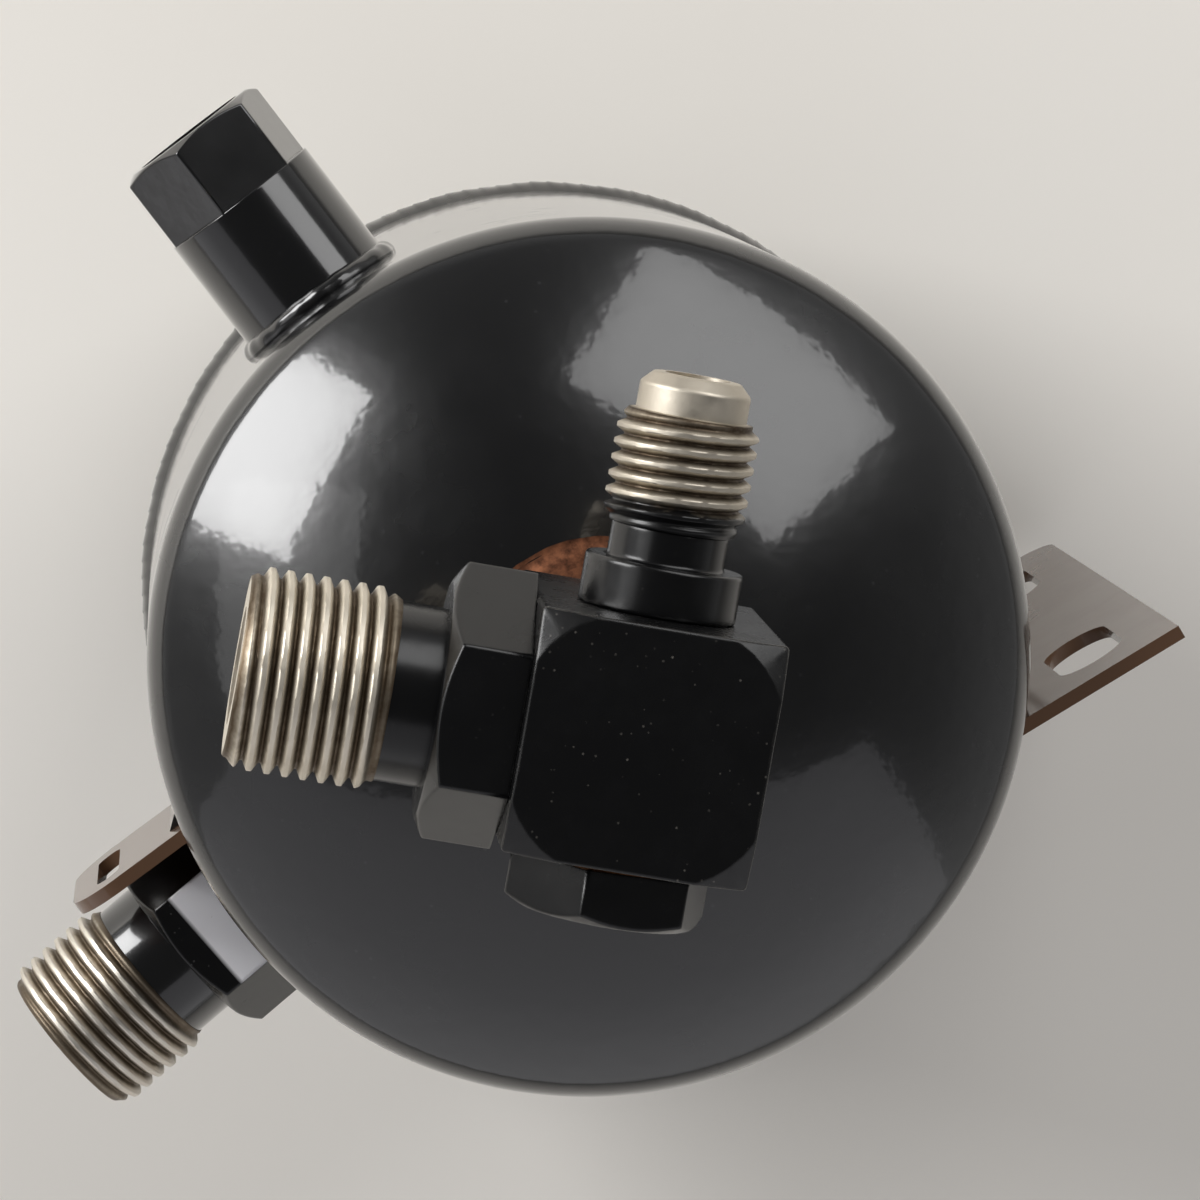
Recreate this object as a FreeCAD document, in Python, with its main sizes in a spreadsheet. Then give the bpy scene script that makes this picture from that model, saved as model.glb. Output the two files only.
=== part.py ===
"""Small pressure reservoir: welded steel shell, shut-off valve block, inlet, sight glass and side bracket.

The vessel stands upright on its axis, valve upwards. Pieces are drawn on the vessel's own axis, with
height 0 where the front head's knuckle meets the straight wall, and are then placed in the part's frame.
That frame has its origin at the centre of the bracket's two slots, on the plate's outer face.
"""
import FreeCAD, Part
import math
import os
import re
import Sketcher

# Driving sizes in millimetres and degrees: alias, value, what it sets.
SIZES = [
    ("shell_radius", 38.1, "outside radius of the drawn steel shell"),
    ("shell_wall", 1.6, "thickness of the shell and its heads"),
    ("wall_length", 66.0, "straight wall between the two heads"),
    ("head_height", 16.0, "height of each head above its rim"),
    ("knuckle_radius", 5.0, "outside radius of the knuckle between head and wall"),
    ("rear_straight", 6.0, "straight wall of the rear cup"),
    ("girth_height", "=wall_length - rear_straight", "distance of the girth joint below the front rim"),
    ("girth_bead_width", 5.0, "width of the girth weld bead"),
    ("girth_bead_rise", 0.9, "height of the girth weld bead"),
    ("backing_width", 9.0, "width of the ring inside the girth joint"),
    ("backing_wall", 1.0, "thickness of the ring inside the girth joint"),
    ("block_flats", 19.05, "square bar of the valve block, across flats"),
    ("block_face_height", 58.0, "front face of the valve block above the rim"),
    ("block_rear_height", 30.0, "rear face of the valve block above the rim"),
    ("block_crown_radius", 10.95, "radius left flat on the turned front face"),
    ("ports_height", 46.5, "height of the plane of the side ports"),
    ("outlet_angle", 139.0, "direction of the outlet about the vessel axis"),
    ("spigot_radius", 9.0, "round spigot that enters the front head"),
    ("spigot_depth", 4.0, "length of spigot inside the front head"),
    ("spigot_bore_radius", 4.0, "drilled way up the spigot"),
    ("braze_radius", 12.2, "outer radius of the copper fillet on the head"),
    ("braze_rise", 2.6, "height of the copper fillet up the spigot"),
    ("flare_thread_radius", 7.9375, "5/8-18 thread, outside radius"),
    ("flare_pitch", 1.4111, "5/8-18 thread, pitch"),
    ("thread_depth", 0.72, "depth of the 5/8-18 thread"),
    ("flare_neck_radius", 7.05, "turned neck behind the 5/8-18 thread"),
    ("flare_bore_radius", 4.6, "bore of the 5/8-18 fittings"),
    ("outlet_flats", 19.05, "hexagon of the outlet, across flats"),
    ("outlet_hex_length", 6.4, "length of the outlet hexagon"),
    ("outlet_neck_length", 3.6, "length of the outlet neck"),
    ("outlet_thread_length", 11.8, "length of the outlet thread"),
    ("tail_radius", 6.4, "tail of the outlet inside the block"),
    ("tail_length", 4.0, "depth of the outlet tail in the block"),
    ("service_collar_radius", 6.2, "round collar of the service port"),
    ("service_collar_length", 3.9, "length of that collar"),
    ("service_neck_radius", 4.6, "neck behind the service thread"),
    ("service_neck_length", 2.7, "length of that neck"),
    ("service_thread_radius", 5.556, "7/16-20 thread, outside radius"),
    ("service_pitch", 1.27, "7/16-20 thread, pitch"),
    ("service_thread_depth", 0.62, "depth of the 7/16-20 thread"),
    ("service_thread_length", 8.9, "length of the service thread"),
    ("nose_radius", 4.35, "plain nose in front of the service thread"),
    ("nose_length", 3.0, "length of the nose with its flare seat"),
    ("seat_radius", 3.4, "end of the 45 degree flare seat"),
    ("service_tail_radius", 4.2, "tail of the service port inside the block"),
    ("core_radius", 2.55, "bore for the valve core"),
    ("core_length", 6.5, "length of the core's body"),
    ("core_recess", 2.4, "depth of the core's body below the nose"),
    ("core_hole_radius", 1.7, "spring chamber in the core's body"),
    ("core_floor", 2.4, "length of the core's body below its spring"),
    ("core_well", 3.2, "free space under the core"),
    ("spring_radius", 1.2, "mean radius of the core's spring"),
    ("spring_wire", 0.15, "half the side of the spring's square wire"),
    ("spring_turns", 5.0, "turns of the core's spring"),
    ("button_radius", 1.5, "button on top of the pin"),
    ("button_height", 0.6, "height of that button"),
    ("button_recess", 1.2, "depth of the button below the nose"),
    ("pin_radius", 0.6, "stem of the core's pin"),
    ("pin_seal_radius", 1.9, "sealing cup on the core's pin"),
    ("pin_press", 1.2, "travel of the core's pin"),
    ("seat_hole_radius", 1.5, "hole that the valve disc closes"),
    ("seat_depth", 4.0, "distance of the disc's seat behind the vessel axis"),
    ("stem_bore_radius", 4.5, "bore of the block around the stem"),
    ("cap_bore_radius", 6.3, "tapped mouth of the stem bore"),
    ("cap_bore_depth", 3.0, "depth of the tapped mouth"),
    ("disc_radius", 3.3, "valve disc"),
    ("disc_thickness", 1.5, "thickness of the valve disc"),
    ("disc_lift", 1.8, "lift of the valve disc off its seat"),
    ("seat_gap", 0.05, "film left under the closed valve disc"),
    ("disc_room", 0.4, "space around the valve disc"),
    ("packing_floor", 2.6, "shoulder under the packing, from the vessel axis"),
    ("stem_tip_radius", 1.2, "tip of the stem inside the disc"),
    ("stem_tip_length", 0.8, "depth of that tip in the disc"),
    ("stem_recess", 0.9, "depth of the stem's end below the block"),
    ("stem_radius", 2.0, "shank of the valve stem"),
    ("stem_square", 2.6, "square drive on the stem, across flats"),
    ("stem_square_length", 2.4, "length of the square drive"),
    ("packing_thickness", 1.5, "height of the stem packing"),
    ("gland_length", 1.9, "height of the gland nut"),
    ("running_gap", 0.05, "radial clearance of a turning or sliding fit"),
    ("gasket_thickness", 0.7, "copper ring under the stem cap"),
    ("gasket_radius", 7.0, "outside radius of that ring"),
    ("cap_flats", 14.3, "hexagon of the stem cap, across flats"),
    ("cap_twist", -13.0, "turn of the cap's hexagon when tight"),
    ("cap_height", 4.3, "height of the cap's hexagon"),
    ("cap_plug_gap", 0.2, "space under the plug of the stem cap"),
    ("cap_hollow_depth", 2.7, "solid end of the stem cap above its hollow"),
    ("cap_hollow_radius", 3.4, "hollow inside the cap over the stem"),
    ("pickup_radius", 5.0, "outside radius of the pick-up tube"),
    ("pickup_wall", 0.8, "wall of the pick-up tube"),
    ("pickup_socket", 6.0, "depth of the tube in the spigot"),
    ("pickup_clearance", 7.0, "space between strainer and rear head"),
    ("strainer_radius", 8.0, "outside radius of the strainer cup"),
    ("strainer_length", 18.0, "length of the strainer cup"),
    ("strainer_wall", 0.8, "wall of the strainer cup"),
    ("window_width", 2.6, "width of one strainer window"),
    ("glass_angle", 96.3, "direction of the sight glass"),
    ("glass_height", 17.0, "distance of the sight glass below the front rim"),
    ("boss_flats", 12.7, "hexagon of the sight glass body, across flats"),
    ("boss_twist", 15.0, "turn of that hexagon about its own axis"),
    ("boss_stand", 18.2, "outer end of the body above the wall"),
    ("boss_tip", "=shell_radius + boss_stand", "outer end of the body from the vessel axis"),
    ("boss_hex_length", 7.4, "length of its hexagon"),
    ("boss_bore_radius", 3.9, "bore below the glass"),
    ("glass_seat_radius", 5.2, "recess for gasket, glass and ring"),
    ("glass_gap", 0.1, "clearance around the glass"),
    ("glass_thickness", 3.2, "thickness of the glass"),
    ("glass_gasket", 0.8, "thickness of the gasket under the glass"),
    ("retainer_height", 1.8, "height of the ring that holds the glass"),
    ("retainer_hole_radius", 3.7, "opening of that ring"),
    ("retainer_recess", 0.5, "depth of that ring below the tip"),
    ("boss_weld_radius", 9.0, "outer radius of the weld round the body"),
    ("boss_weld_rise", 2.0, "rise of that weld above the wall"),
    ("inlet_angle", 189.3, "direction of the inlet"),
    ("inlet_height", 32.0, "distance of the inlet below the front rim"),
    ("inlet_flats", 17.5, "hexagon of the inlet, across flats"),
    ("inlet_stand", 1.1, "space between the wall and the inlet's hexagon"),
    ("inlet_hex_start", "=shell_radius + inlet_stand", "inner end of the hexagon from the vessel axis"),
    ("inlet_hex_length", 6.9, "length of the inlet hexagon"),
    ("inlet_neck_length", 3.9, "length of the inlet neck"),
    ("inlet_thread_length", 10.0, "length of the inlet thread"),
    ("inlet_spigot_radius", 6.9, "round spigot through the wall"),
    ("inlet_spigot_depth", 3.1, "depth of the spigot below the outside of the wall"),
    ("inlet_spigot_inner", "=shell_radius - inlet_spigot_depth", "inner end of the spigot from the axis"),
    ("inlet_weld_radius", 9.2, "outer radius of the weld round the spigot"),
    ("plate_offset", 25.0, "inner face of the bracket from the vessel axis"),
    ("plate_thickness", 1.2, "sheet thickness of the bracket"),
    ("plate_overhang", 7.4, "outer edge of the bracket beyond the wall"),
    ("plate_reach", "=shell_radius + plate_overhang", "outer edge of the bracket from the vessel axis"),
    ("plate_top", 5.0, "upper edge of the bracket below the front rim"),
    ("plate_tail", 14.0, "length of the bracket past the rear rim"),
    ("plate_length", "=wall_length + plate_tail - plate_top", "length of the bracket along the vessel"),
    ("bead_relief", 0.4, "space left around the girth weld"),
    ("plate_corner", 4.0, "radius of the lower outer corner"),
    ("slot_width", 6.4, "width of a bracket slot"),
    ("slot_length", 15.0, "length of a bracket slot, end to end"),
    ("slot_edge", 7.3, "distance of the slots from the outer edge"),
    ("slot_end", 13.5, "distance of a slot's middle from the end of the bracket"),
    ("slot_spacing", "=plate_length - 2 * slot_end", "distance between the two slots"),
    ("stitch_length", 12.0, "length of one stitch weld"),
    ("stitch_leg", 1.8, "leg of a stitch weld"),
    ("ear_angle", 185.3, "direction of the strap ear"),
    ("ear_gap", 0.95, "space between the ear and the corner of the inlet's hexagon"),
    ("ear_thickness", 1.2, "sheet thickness of the ear"),
    ("ear_overhang", 11.5, "outer end of the ear beyond the wall"),
    ("ear_reach", "=shell_radius + ear_overhang", "outer end of the ear from the vessel axis"),
    ("ear_rise", 2.5, "lower edge of the ear above the inlet's axis"),
    ("ear_length", 20.0, "length of the ear along the vessel"),
    ("ear_corner", 4.5, "radius of the ear's corners"),
    ("strap_slot_width", 2.4, "width of the strap slot"),
    ("strap_slot_length", 13.0, "length of the strap slot"),
    ("strap_slot_edge", 3.8, "distance of the strap slot from the ear's end"),
]

CIRCLE = 360.0
CROWN_SLOPE = "tan(30 deg)"
doc = FreeCAD.newDocument("Reservoir")
sheet = doc.addObject("Spreadsheet::Sheet", "Sizes")
pieces = []


def fill_sheet():
    """Write every size into the sheet under its alias; one that starts with = follows from sizes above it."""
    for row, (alias, value, meaning) in enumerate(SIZES, start=1):
        sheet.set(f"A{row}", alias)
        sheet.set(f"B{row}", str(value))
        sheet.set(f"C{row}", meaning)
        sheet.setAlias(f"B{row}", alias)
    doc.recompute()


ALIASES = {alias for alias, _, _ in SIZES}


def bound(text):
    """Turn a formula of bare size names into an expression on the sheet."""
    return re.sub(r"[a-z_]+", lambda word: f"Sizes.{word[0]}" if word[0] in ALIASES else word[0], str(text))


def amount(text):
    """Value of a formula of size names, in millimetres or degrees."""
    result = sheet.evalExpression(bound(text))
    return float(getattr(result, "Value", result))


def origin_plane(body, role):
    """One of the body's own origin planes, such as XY_Plane."""
    return next(item for item in body.Origin.OriginFeatures if item.Role == role)


def new_sketch(body, name, role, offset="0"):
    """Sketch on an origin plane of the body, moved along the plane's normal by a formula."""
    sketch = body.newObject("Sketcher::SketchObject", name)
    sketch.AttachmentSupport = [(origin_plane(body, role), "")]
    sketch.MapMode = "FlatFace"
    sketch.setExpression(".AttachmentOffset.Base.z", bound(f"({offset}) * 1 mm"))
    return sketch


def hold(sketch, kind, run, end, formula):
    """Tie one coordinate of a run's end to the sheet, measured from the sketch's origin."""
    index = sketch.addConstraint(Sketcher.Constraint(kind, -1, 1, run, end, amount(formula)))
    sketch.setExpression(f"Constraints[{index}]", bound(formula))


def draw_outline(sketch, corners, centres=None):
    """Close a loop through corners given as formulas; a centre bends the run after its corner into an arc."""
    centres = centres or {}
    points = [FreeCAD.Vector(amount(across), amount(along), 0) for across, along in corners]
    ends = []
    for index, start in enumerate(points):
        finish = points[(index + 1) % len(points)]
        if index not in centres:
            ends.append((sketch.addGeometry(Part.LineSegment(start, finish)), 1, 2))
            continue
        centre = FreeCAD.Vector(*(amount(formula) for formula in centres[index]), 0)
        to_start = start - centre
        to_middle = (to_start + finish - centre).normalize() * to_start.Length
        anticlockwise = to_start.cross(to_middle).z > 0
        sweep = (start, centre + to_middle, finish) if anticlockwise else (finish, centre + to_middle, start)
        run = sketch.addGeometry(Part.Arc(*sweep))
        ends.append((run, 1, 2) if anticlockwise else (run, 2, 1))
        chord = finish - start
        if abs(chord.y) > abs(chord.x):
            hold(sketch, "DistanceX", run, 3, centres[index][0])
        else:
            hold(sketch, "DistanceY", run, 3, centres[index][1])
    for index, (run, first, last) in enumerate(ends):
        next_run, next_first, _ = ends[(index + 1) % len(ends)]
        sketch.addConstraint(Sketcher.Constraint("Coincident", run, last, next_run, next_first))
        hold(sketch, "DistanceX", run, first, corners[index][0])
        hold(sketch, "DistanceY", run, first, corners[index][1])


def new_body(label, kept=True):
    """Empty body that becomes one sub-part, or the blank of one when it isn't kept as it is."""
    body = doc.addObject("PartDesign::Body", label)
    body.Label = label
    if kept:
        pieces.append(body)
    return body


def rod(name, radius, bottom, top, placement):
    """Plain cylinder used as a cutting tool, from bottom to top along its own Z."""
    tool = doc.addObject("Part::Cylinder", name)
    tool.setExpression("Radius", bound(radius))
    tool.setExpression("Height", bound(f"{top} - ({bottom})"))
    shift = placement.Rotation.multVec(FreeCAD.Vector(0, 0, amount(bottom)))
    tool.Placement = FreeCAD.Placement(placement.Base + shift, placement.Rotation)
    return tool


def cut_away(label, blank, tools):
    """Sub-part made from a blank with one or more tools cut out of it."""
    base = blank
    for index, tool in enumerate(tools, start=1):
        cut = doc.addObject("Part::Cut", f"{label}_cut{index}")
        cut.Base = base
        cut.Tool = tool
        base = cut
    base.Label = label
    pieces.append(base)
    return base


def revolve(body, name, corners, centres=None, kind="PartDesign::Revolution"):
    """Turn an outline of (radius, height) corners about the body's own Z axis."""
    sketch = new_sketch(body, f"{body.Label}_{name}_outline", "XZ_Plane")
    draw_outline(sketch, corners, centres)
    feature = body.newObject(kind, f"{body.Label}_{name}")
    feature.Profile = sketch
    feature.ReferenceAxis = (sketch, ["V_Axis"])
    feature.Angle = CIRCLE
    return feature


def groove(body, name, corners, centres=None):
    """Cut a turned outline out of the body."""
    return revolve(body, name, corners, centres, "PartDesign::Groove")


def bore(body, name, radius, bottom, top):
    """Cut a round hole on the body's Z axis between two heights."""
    return groove(body, name, ring("0", radius, bottom, top))


def ring(inner, outer, bottom, top):
    """Corners of a plain rectangular ring section."""
    return [(inner, bottom), (outer, bottom), (outer, top), (inner, top)]


def pad(body, name, corners, start, length, role="XY_Plane", centres=None):
    """Raise an outline from a height on the body's axis."""
    sketch = new_sketch(body, f"{body.Label}_{name}_outline", role, start)
    draw_outline(sketch, corners, centres)
    feature = body.newObject("PartDesign::Pad", f"{body.Label}_{name}")
    feature.Profile = sketch
    feature.setExpression("Length", bound(length))
    return feature


def hexagon(flats, twist="0"):
    """Corners of a hexagon with one flat facing X, turned by an angle."""
    return [(f"({flats}) / sqrt(3) * cos(({twist} + {angle}) * 1 deg)",
             f"({flats}) / sqrt(3) * sin(({twist} + {angle}) * 1 deg)") for angle in range(30, 390, 60)]


def crown(body, name, radius, corner, end):
    """Turn the corners off the outer end of a bar at 30 degrees, leaving a flat of the given radius."""
    drop = f"({corner} - ({radius})) * {CROWN_SLOPE}"
    foot = f"{end} - ({drop}) - {CROWN_SLOPE}"
    groove(body, name, [(radius, end), (f"{corner} + 1", end), (f"{corner} + 1", foot)])


def drill(body, name, role, start, radius, length, along_normal):
    """Cut a round hole across the body at the height of the ports, from a plane moved by start."""
    sketch = new_sketch(body, f"{body.Label}_{name}_circle", role, start)
    middle = FreeCAD.Vector(0, amount("ports_height"), 0)
    run = sketch.addGeometry(Part.Circle(middle, FreeCAD.Vector(0, 0, 1), amount(radius)))
    hold(sketch, "DistanceX", run, 3, "0")
    hold(sketch, "DistanceY", run, 3, "ports_height")
    index = sketch.addConstraint(Sketcher.Constraint("Radius", run, amount(radius)))
    sketch.setExpression(f"Constraints[{index}]", bound(radius))
    feature = body.newObject("PartDesign::Pocket", f"{body.Label}_{name}")
    feature.Profile = sketch
    feature.setExpression("Length", bound(length))
    feature.Reversed = along_normal
    return feature


def thread(radius, depth, pitch, start, length):
    """Corners of a ridged outside thread from its inner end to its outer end, as (radius, height)."""
    turns = int((amount(length) + 1e-6) / amount(pitch))
    lead = f"({length} - {turns} * {pitch}) / 2"
    corners = [(f"{radius} - {depth}", f"{start} + {lead}")]
    for turn in range(turns):
        foot = f"{start} + {lead} + {turn} * {pitch}"
        corners.append((radius, f"{foot} + 0.375 * {pitch}"))
        corners.append((radius, f"{foot} + 0.625 * {pitch}"))
        corners.append((f"{radius} - {depth}", f"{foot} + {pitch}"))
    return corners


def origin_shift():
    """Vector that carries the vessel's own zero to the part's origin at the centre of the bracket's slots."""
    across = amount("plate_reach - slot_edge")
    outward = -amount("plate_offset + plate_thickness")
    height = -amount("plate_top + plate_length / 2")
    return FreeCAD.Vector(-across, -outward, -height)


def upright_placement(angle="0"):
    """Placement of what is drawn on the vessel's axis, turned about it."""
    return FreeCAD.Placement(origin_shift(), FreeCAD.Rotation(FreeCAD.Vector(0, 0, 1), amount(angle)))


def upright(body, angle="0"):
    """Set a piece that is drawn on the vessel's axis."""
    body.Placement = upright_placement(angle)


def radial_placement(angle, height):
    """Placement that points a piece's Z outward at an angle and its X along the vessel, at a height."""
    direction = math.radians(amount(angle))
    outward = FreeCAD.Vector(math.cos(direction), math.sin(direction), 0)
    along = FreeCAD.Vector(0, 0, 1)
    turn = FreeCAD.Rotation(along, outward.cross(along), outward, "ZXY")
    return FreeCAD.Placement(origin_shift() + along * amount(height), turn)


def radial(body, angle, height):
    """Set a piece that is drawn outward from the vessel's axis."""
    body.Placement = radial_placement(angle, height)


def head_sphere(radius, knuckle):
    """Formulas for a head's crown radius and the crown's end: (crown, end radius, end height)."""
    reach = f"({radius} - {knuckle})"
    rise = "head_height" if radius == "shell_radius" else "(head_height - shell_wall)"
    sphere = f"(({rise}^2 - {knuckle}^2 + {reach}^2) / (2 * ({rise} - {knuckle})))"
    end_radius = f"({reach} * {sphere} / ({sphere} - {knuckle}))"
    end_height = f"(({sphere} - {rise}) * {knuckle} / ({sphere} - {knuckle}))"
    return rise, sphere, end_radius, end_height


def head_section(open_end, hole):
    """Section of a head and its wall down to open_end, as corners and arc centres, with a hole on the axis."""
    outer_rise, outer_sphere, outer_r, outer_h = head_sphere("shell_radius", "knuckle_radius")
    inner_knuckle = "(knuckle_radius - shell_wall)"
    inner_rise, inner_sphere, inner_r, inner_h = head_sphere("(shell_radius - shell_wall)", inner_knuckle)
    outer_mouth = f"{outer_rise} - {outer_sphere} + sqrt({outer_sphere}^2 - ({hole})^2)"
    inner_mouth = f"{inner_rise} - {inner_sphere} + sqrt({inner_sphere}^2 - ({hole})^2)"
    corners = [
        (hole, outer_mouth),
        (outer_r, outer_h),
        ("shell_radius", "0"),
        ("shell_radius", open_end),
        ("shell_radius - shell_wall", open_end),
        ("shell_radius - shell_wall", "0"),
        (inner_r, inner_h),
        (hole, inner_mouth),
    ]
    centres = {
        0: ("0", f"{outer_rise} - {outer_sphere}"),
        1: ("shell_radius - knuckle_radius", "0"),
        5: ("shell_radius - knuckle_radius", "0"),
        6: ("0", f"{inner_rise} - {inner_sphere}"),
    }
    return corners, centres


def make_shell():
    """Front cup with its holes, rear cup, the girth weld between them and the ring inside the joint."""
    blank = new_body("front_cup_blank", kept=False)
    revolve(blank, "wall", *head_section("-girth_height", "spigot_radius"))
    upright(blank)
    glass_way = rod("glass_way", "boss_flats / sqrt(3)", "0", "2 * shell_radius",
                    radial_placement("glass_angle", "-glass_height"))
    inlet_way = rod("inlet_way", "inlet_spigot_radius", "0", "2 * shell_radius",
                    radial_placement("inlet_angle", "-inlet_height"))
    cut_away("front_cup", blank, [glass_way, inlet_way])

    rear = new_body("rear_cup")
    revolve(rear, "wall", *head_section("-(wall_length - girth_height)", "0"))
    rear.Placement = FreeCAD.Placement(
        origin_shift() - FreeCAD.Vector(0, 0, amount("wall_length")),
        FreeCAD.Rotation(FreeCAD.Vector(1, 0, 0), CIRCLE / 2))

    weld = new_body("girth_weld")
    half = "girth_bead_width / 2"
    reach = f"(({half})^2 / girth_bead_rise - girth_bead_rise) / 2"
    foot, top = ("shell_radius", f"-girth_height - {half}"), ("shell_radius", f"-girth_height + {half}")
    revolve(weld, "bead", [foot, top], {0: (f"shell_radius - ({reach})", "-girth_height")})
    upright(weld)

    backing = new_body("backing_ring")
    inside = "shell_radius - shell_wall"
    revolve(backing, "band", ring(f"{inside} - backing_wall", inside, "-girth_height - backing_width / 2",
                                  "-girth_height + backing_width / 2"))
    upright(backing)


def make_valve_block():
    """Square block with a round spigot; its X faces the outlet and its Y the stem cap."""
    block = new_body("valve_block")
    half = "block_flats / 2"
    square = [(half, half), (f"-{half}", half), (f"-{half}", f"-{half}"), (half, f"-{half}")]
    pad(block, "bar", square, "block_rear_height", "block_face_height - block_rear_height")
    spigot_end = "head_height - spigot_depth"
    revolve(block, "spigot", ring("0", "spigot_radius", spigot_end, "block_rear_height"))
    crown(block, "crown", "block_crown_radius", "block_flats / sqrt(2)", "block_face_height")
    bore(block, "way_in", "spigot_bore_radius", spigot_end, "ports_height")
    bore(block, "tube_socket", "pickup_radius", spigot_end, f"{spigot_end} + pickup_socket")
    drill(block, "outlet_way", "YZ_Plane", "0", "flare_bore_radius", half, True)
    drill(block, "outlet_socket", "YZ_Plane", f"{half} - tail_length", "tail_radius", "tail_length", True)
    drill(block, "service_way", "XZ_Plane", "0", "seat_hole_radius", half, True)
    drill(block, "service_socket", "XZ_Plane", f"{half} - tail_length", "service_tail_radius",
          "tail_length", True)
    drill(block, "stem_way", "XZ_Plane", "seat_depth", "disc_radius + disc_room",
          f"seat_depth + {half}", False)
    drill(block, "packing_way", "XZ_Plane", "-packing_floor", "stem_bore_radius",
          f"{half} - packing_floor", False)
    drill(block, "cap_mouth", "XZ_Plane", f"cap_bore_depth - {half}", "cap_bore_radius",
          "cap_bore_depth", False)
    upright(block, "outlet_angle")
    return block


def make_braze():
    """Copper fillet between the spigot and the front head."""
    braze = new_body("spigot_braze")
    _, sphere, _, _ = head_sphere("shell_radius", "knuckle_radius")
    foot = f"head_height - {sphere} + sqrt({sphere}^2 - spigot_radius^2)"
    toe = f"head_height - {sphere} + sqrt({sphere}^2 - braze_radius^2)"
    corners = [("spigot_radius", foot), ("braze_radius", toe), ("spigot_radius", f"{foot} + braze_rise")]
    revolve(braze, "fillet", corners, {0: ("0", f"head_height - {sphere}")})
    upright(braze)


def threaded_end(start, neck_length, thread_length):
    """Corners of a neck and a 5/8-18 thread, from the neck's foot to the outer end."""
    foot = f"{start} + {neck_length}"
    ridges = thread("flare_thread_radius", "thread_depth", "flare_pitch", foot, thread_length)
    end = f"{foot} + {thread_length}"
    return [("flare_neck_radius", start), ("flare_neck_radius", foot), *ridges,
            ("flare_thread_radius - thread_depth", end), ("0", end)]


def make_outlet():
    """Outlet screwed into the block: tail, hexagon, neck and thread, drilled through."""
    outlet = new_body("outlet_fitting")
    face = "block_flats / 2"
    hex_end = f"{face} + outlet_hex_length"
    pad(outlet, "hexagon", hexagon("outlet_flats"), face, "outlet_hex_length")
    inner = f"{face} - tail_length"
    tail = [("0", inner), ("tail_radius", inner), ("tail_radius", hex_end)]
    end = threaded_end(hex_end, "outlet_neck_length", "outlet_thread_length")
    revolve(outlet, "turning", tail + end)
    crown(outlet, "crown", "outlet_flats * 0.485", "outlet_flats / sqrt(3)", hex_end)
    bore(outlet, "way", "flare_bore_radius", inner, end[-1][1])
    radial(outlet, "outlet_angle", "ports_height")


def make_service_port():
    """Service port with its flare seat, and the spring-loaded core inside it."""
    face = "block_flats / 2"
    inner = f"{face} - tail_length"
    neck = f"{face} + service_collar_length"
    foot = f"{neck} + service_neck_length"
    nose = f"{foot} + service_thread_length"
    end = f"{nose} + nose_length"
    ridge_root = "service_thread_radius - service_thread_depth"
    port = new_body("service_port")
    revolve(port, "turning", [
        ("0", inner), ("service_tail_radius", inner), ("service_tail_radius", face),
        ("service_collar_radius", face), ("service_collar_radius", neck), ("service_neck_radius", neck),
        ("service_neck_radius", foot),
        *thread("service_thread_radius", "service_thread_depth", "service_pitch", foot,
                "service_thread_length"),
        (ridge_root, nose), ("nose_radius", nose), ("nose_radius", f"{end} - nose_radius + seat_radius"),
        ("seat_radius", end), ("0", end)])
    core_top = f"{end} - core_recess"
    core_bottom = f"{core_top} - core_length"
    bore(port, "way", "seat_hole_radius", inner, f"{core_bottom}")
    bore(port, "core_way", "core_radius", f"{core_bottom} - core_well", end)
    core = new_body("core_body")
    shelf = f"{core_bottom} + core_floor"
    guide = "pin_radius + running_gap"
    revolve(core, "turning", [
        (guide, core_bottom), ("core_radius", core_bottom), ("core_radius", core_top),
        ("core_hole_radius", core_top), ("core_hole_radius", shelf), (guide, shelf)])
    pin = new_body("core_pin")
    button_top = f"{end} - button_recess"
    button_foot = f"{button_top} - button_height"
    cup_top = f"{core_bottom} - seat_gap"
    cup_bottom = f"{cup_top} - button_height"
    revolve(pin, "turning", [
        ("0", cup_bottom), ("pin_seal_radius", cup_bottom), ("pin_seal_radius", cup_top),
        ("pin_radius", cup_top), ("pin_radius", button_foot), ("button_radius", button_foot),
        ("button_radius", button_top), ("0", button_top)])
    for piece in (port, core, pin):
        radial(piece, "outlet_angle - 90", "ports_height")
    make_core_spring(shelf, button_foot)


def make_core_spring(foot, top):
    """Coil of square wire between the core's shelf and the pin's button, a wire clear of both."""
    wire = amount("spring_wire")
    low = amount(foot) + 2 * wire
    rise = amount(top) - 2 * wire - low
    radius = amount("spring_radius")
    path = Part.makeHelix(rise / amount("spring_turns"), rise, radius)
    corners = [(-wire, -wire), (wire, -wire), (wire, wire), (-wire, wire), (-wire, -wire)]
    section = Part.makePolygon([FreeCAD.Vector(radius + out, 0, along) for out, along in corners])
    coil = Part.Wire(path.Edges).makePipeShell([section], True, True)
    spring = doc.addObject("Part::Feature", "core_spring")
    spring.Label = "core_spring"
    spring.Shape = coil
    pieces.append(spring)
    seat = radial_placement("outlet_angle - 90", "ports_height")
    spring.Placement = seat.multiply(FreeCAD.Placement(FreeCAD.Vector(0, 0, low), FreeCAD.Rotation()))


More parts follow.
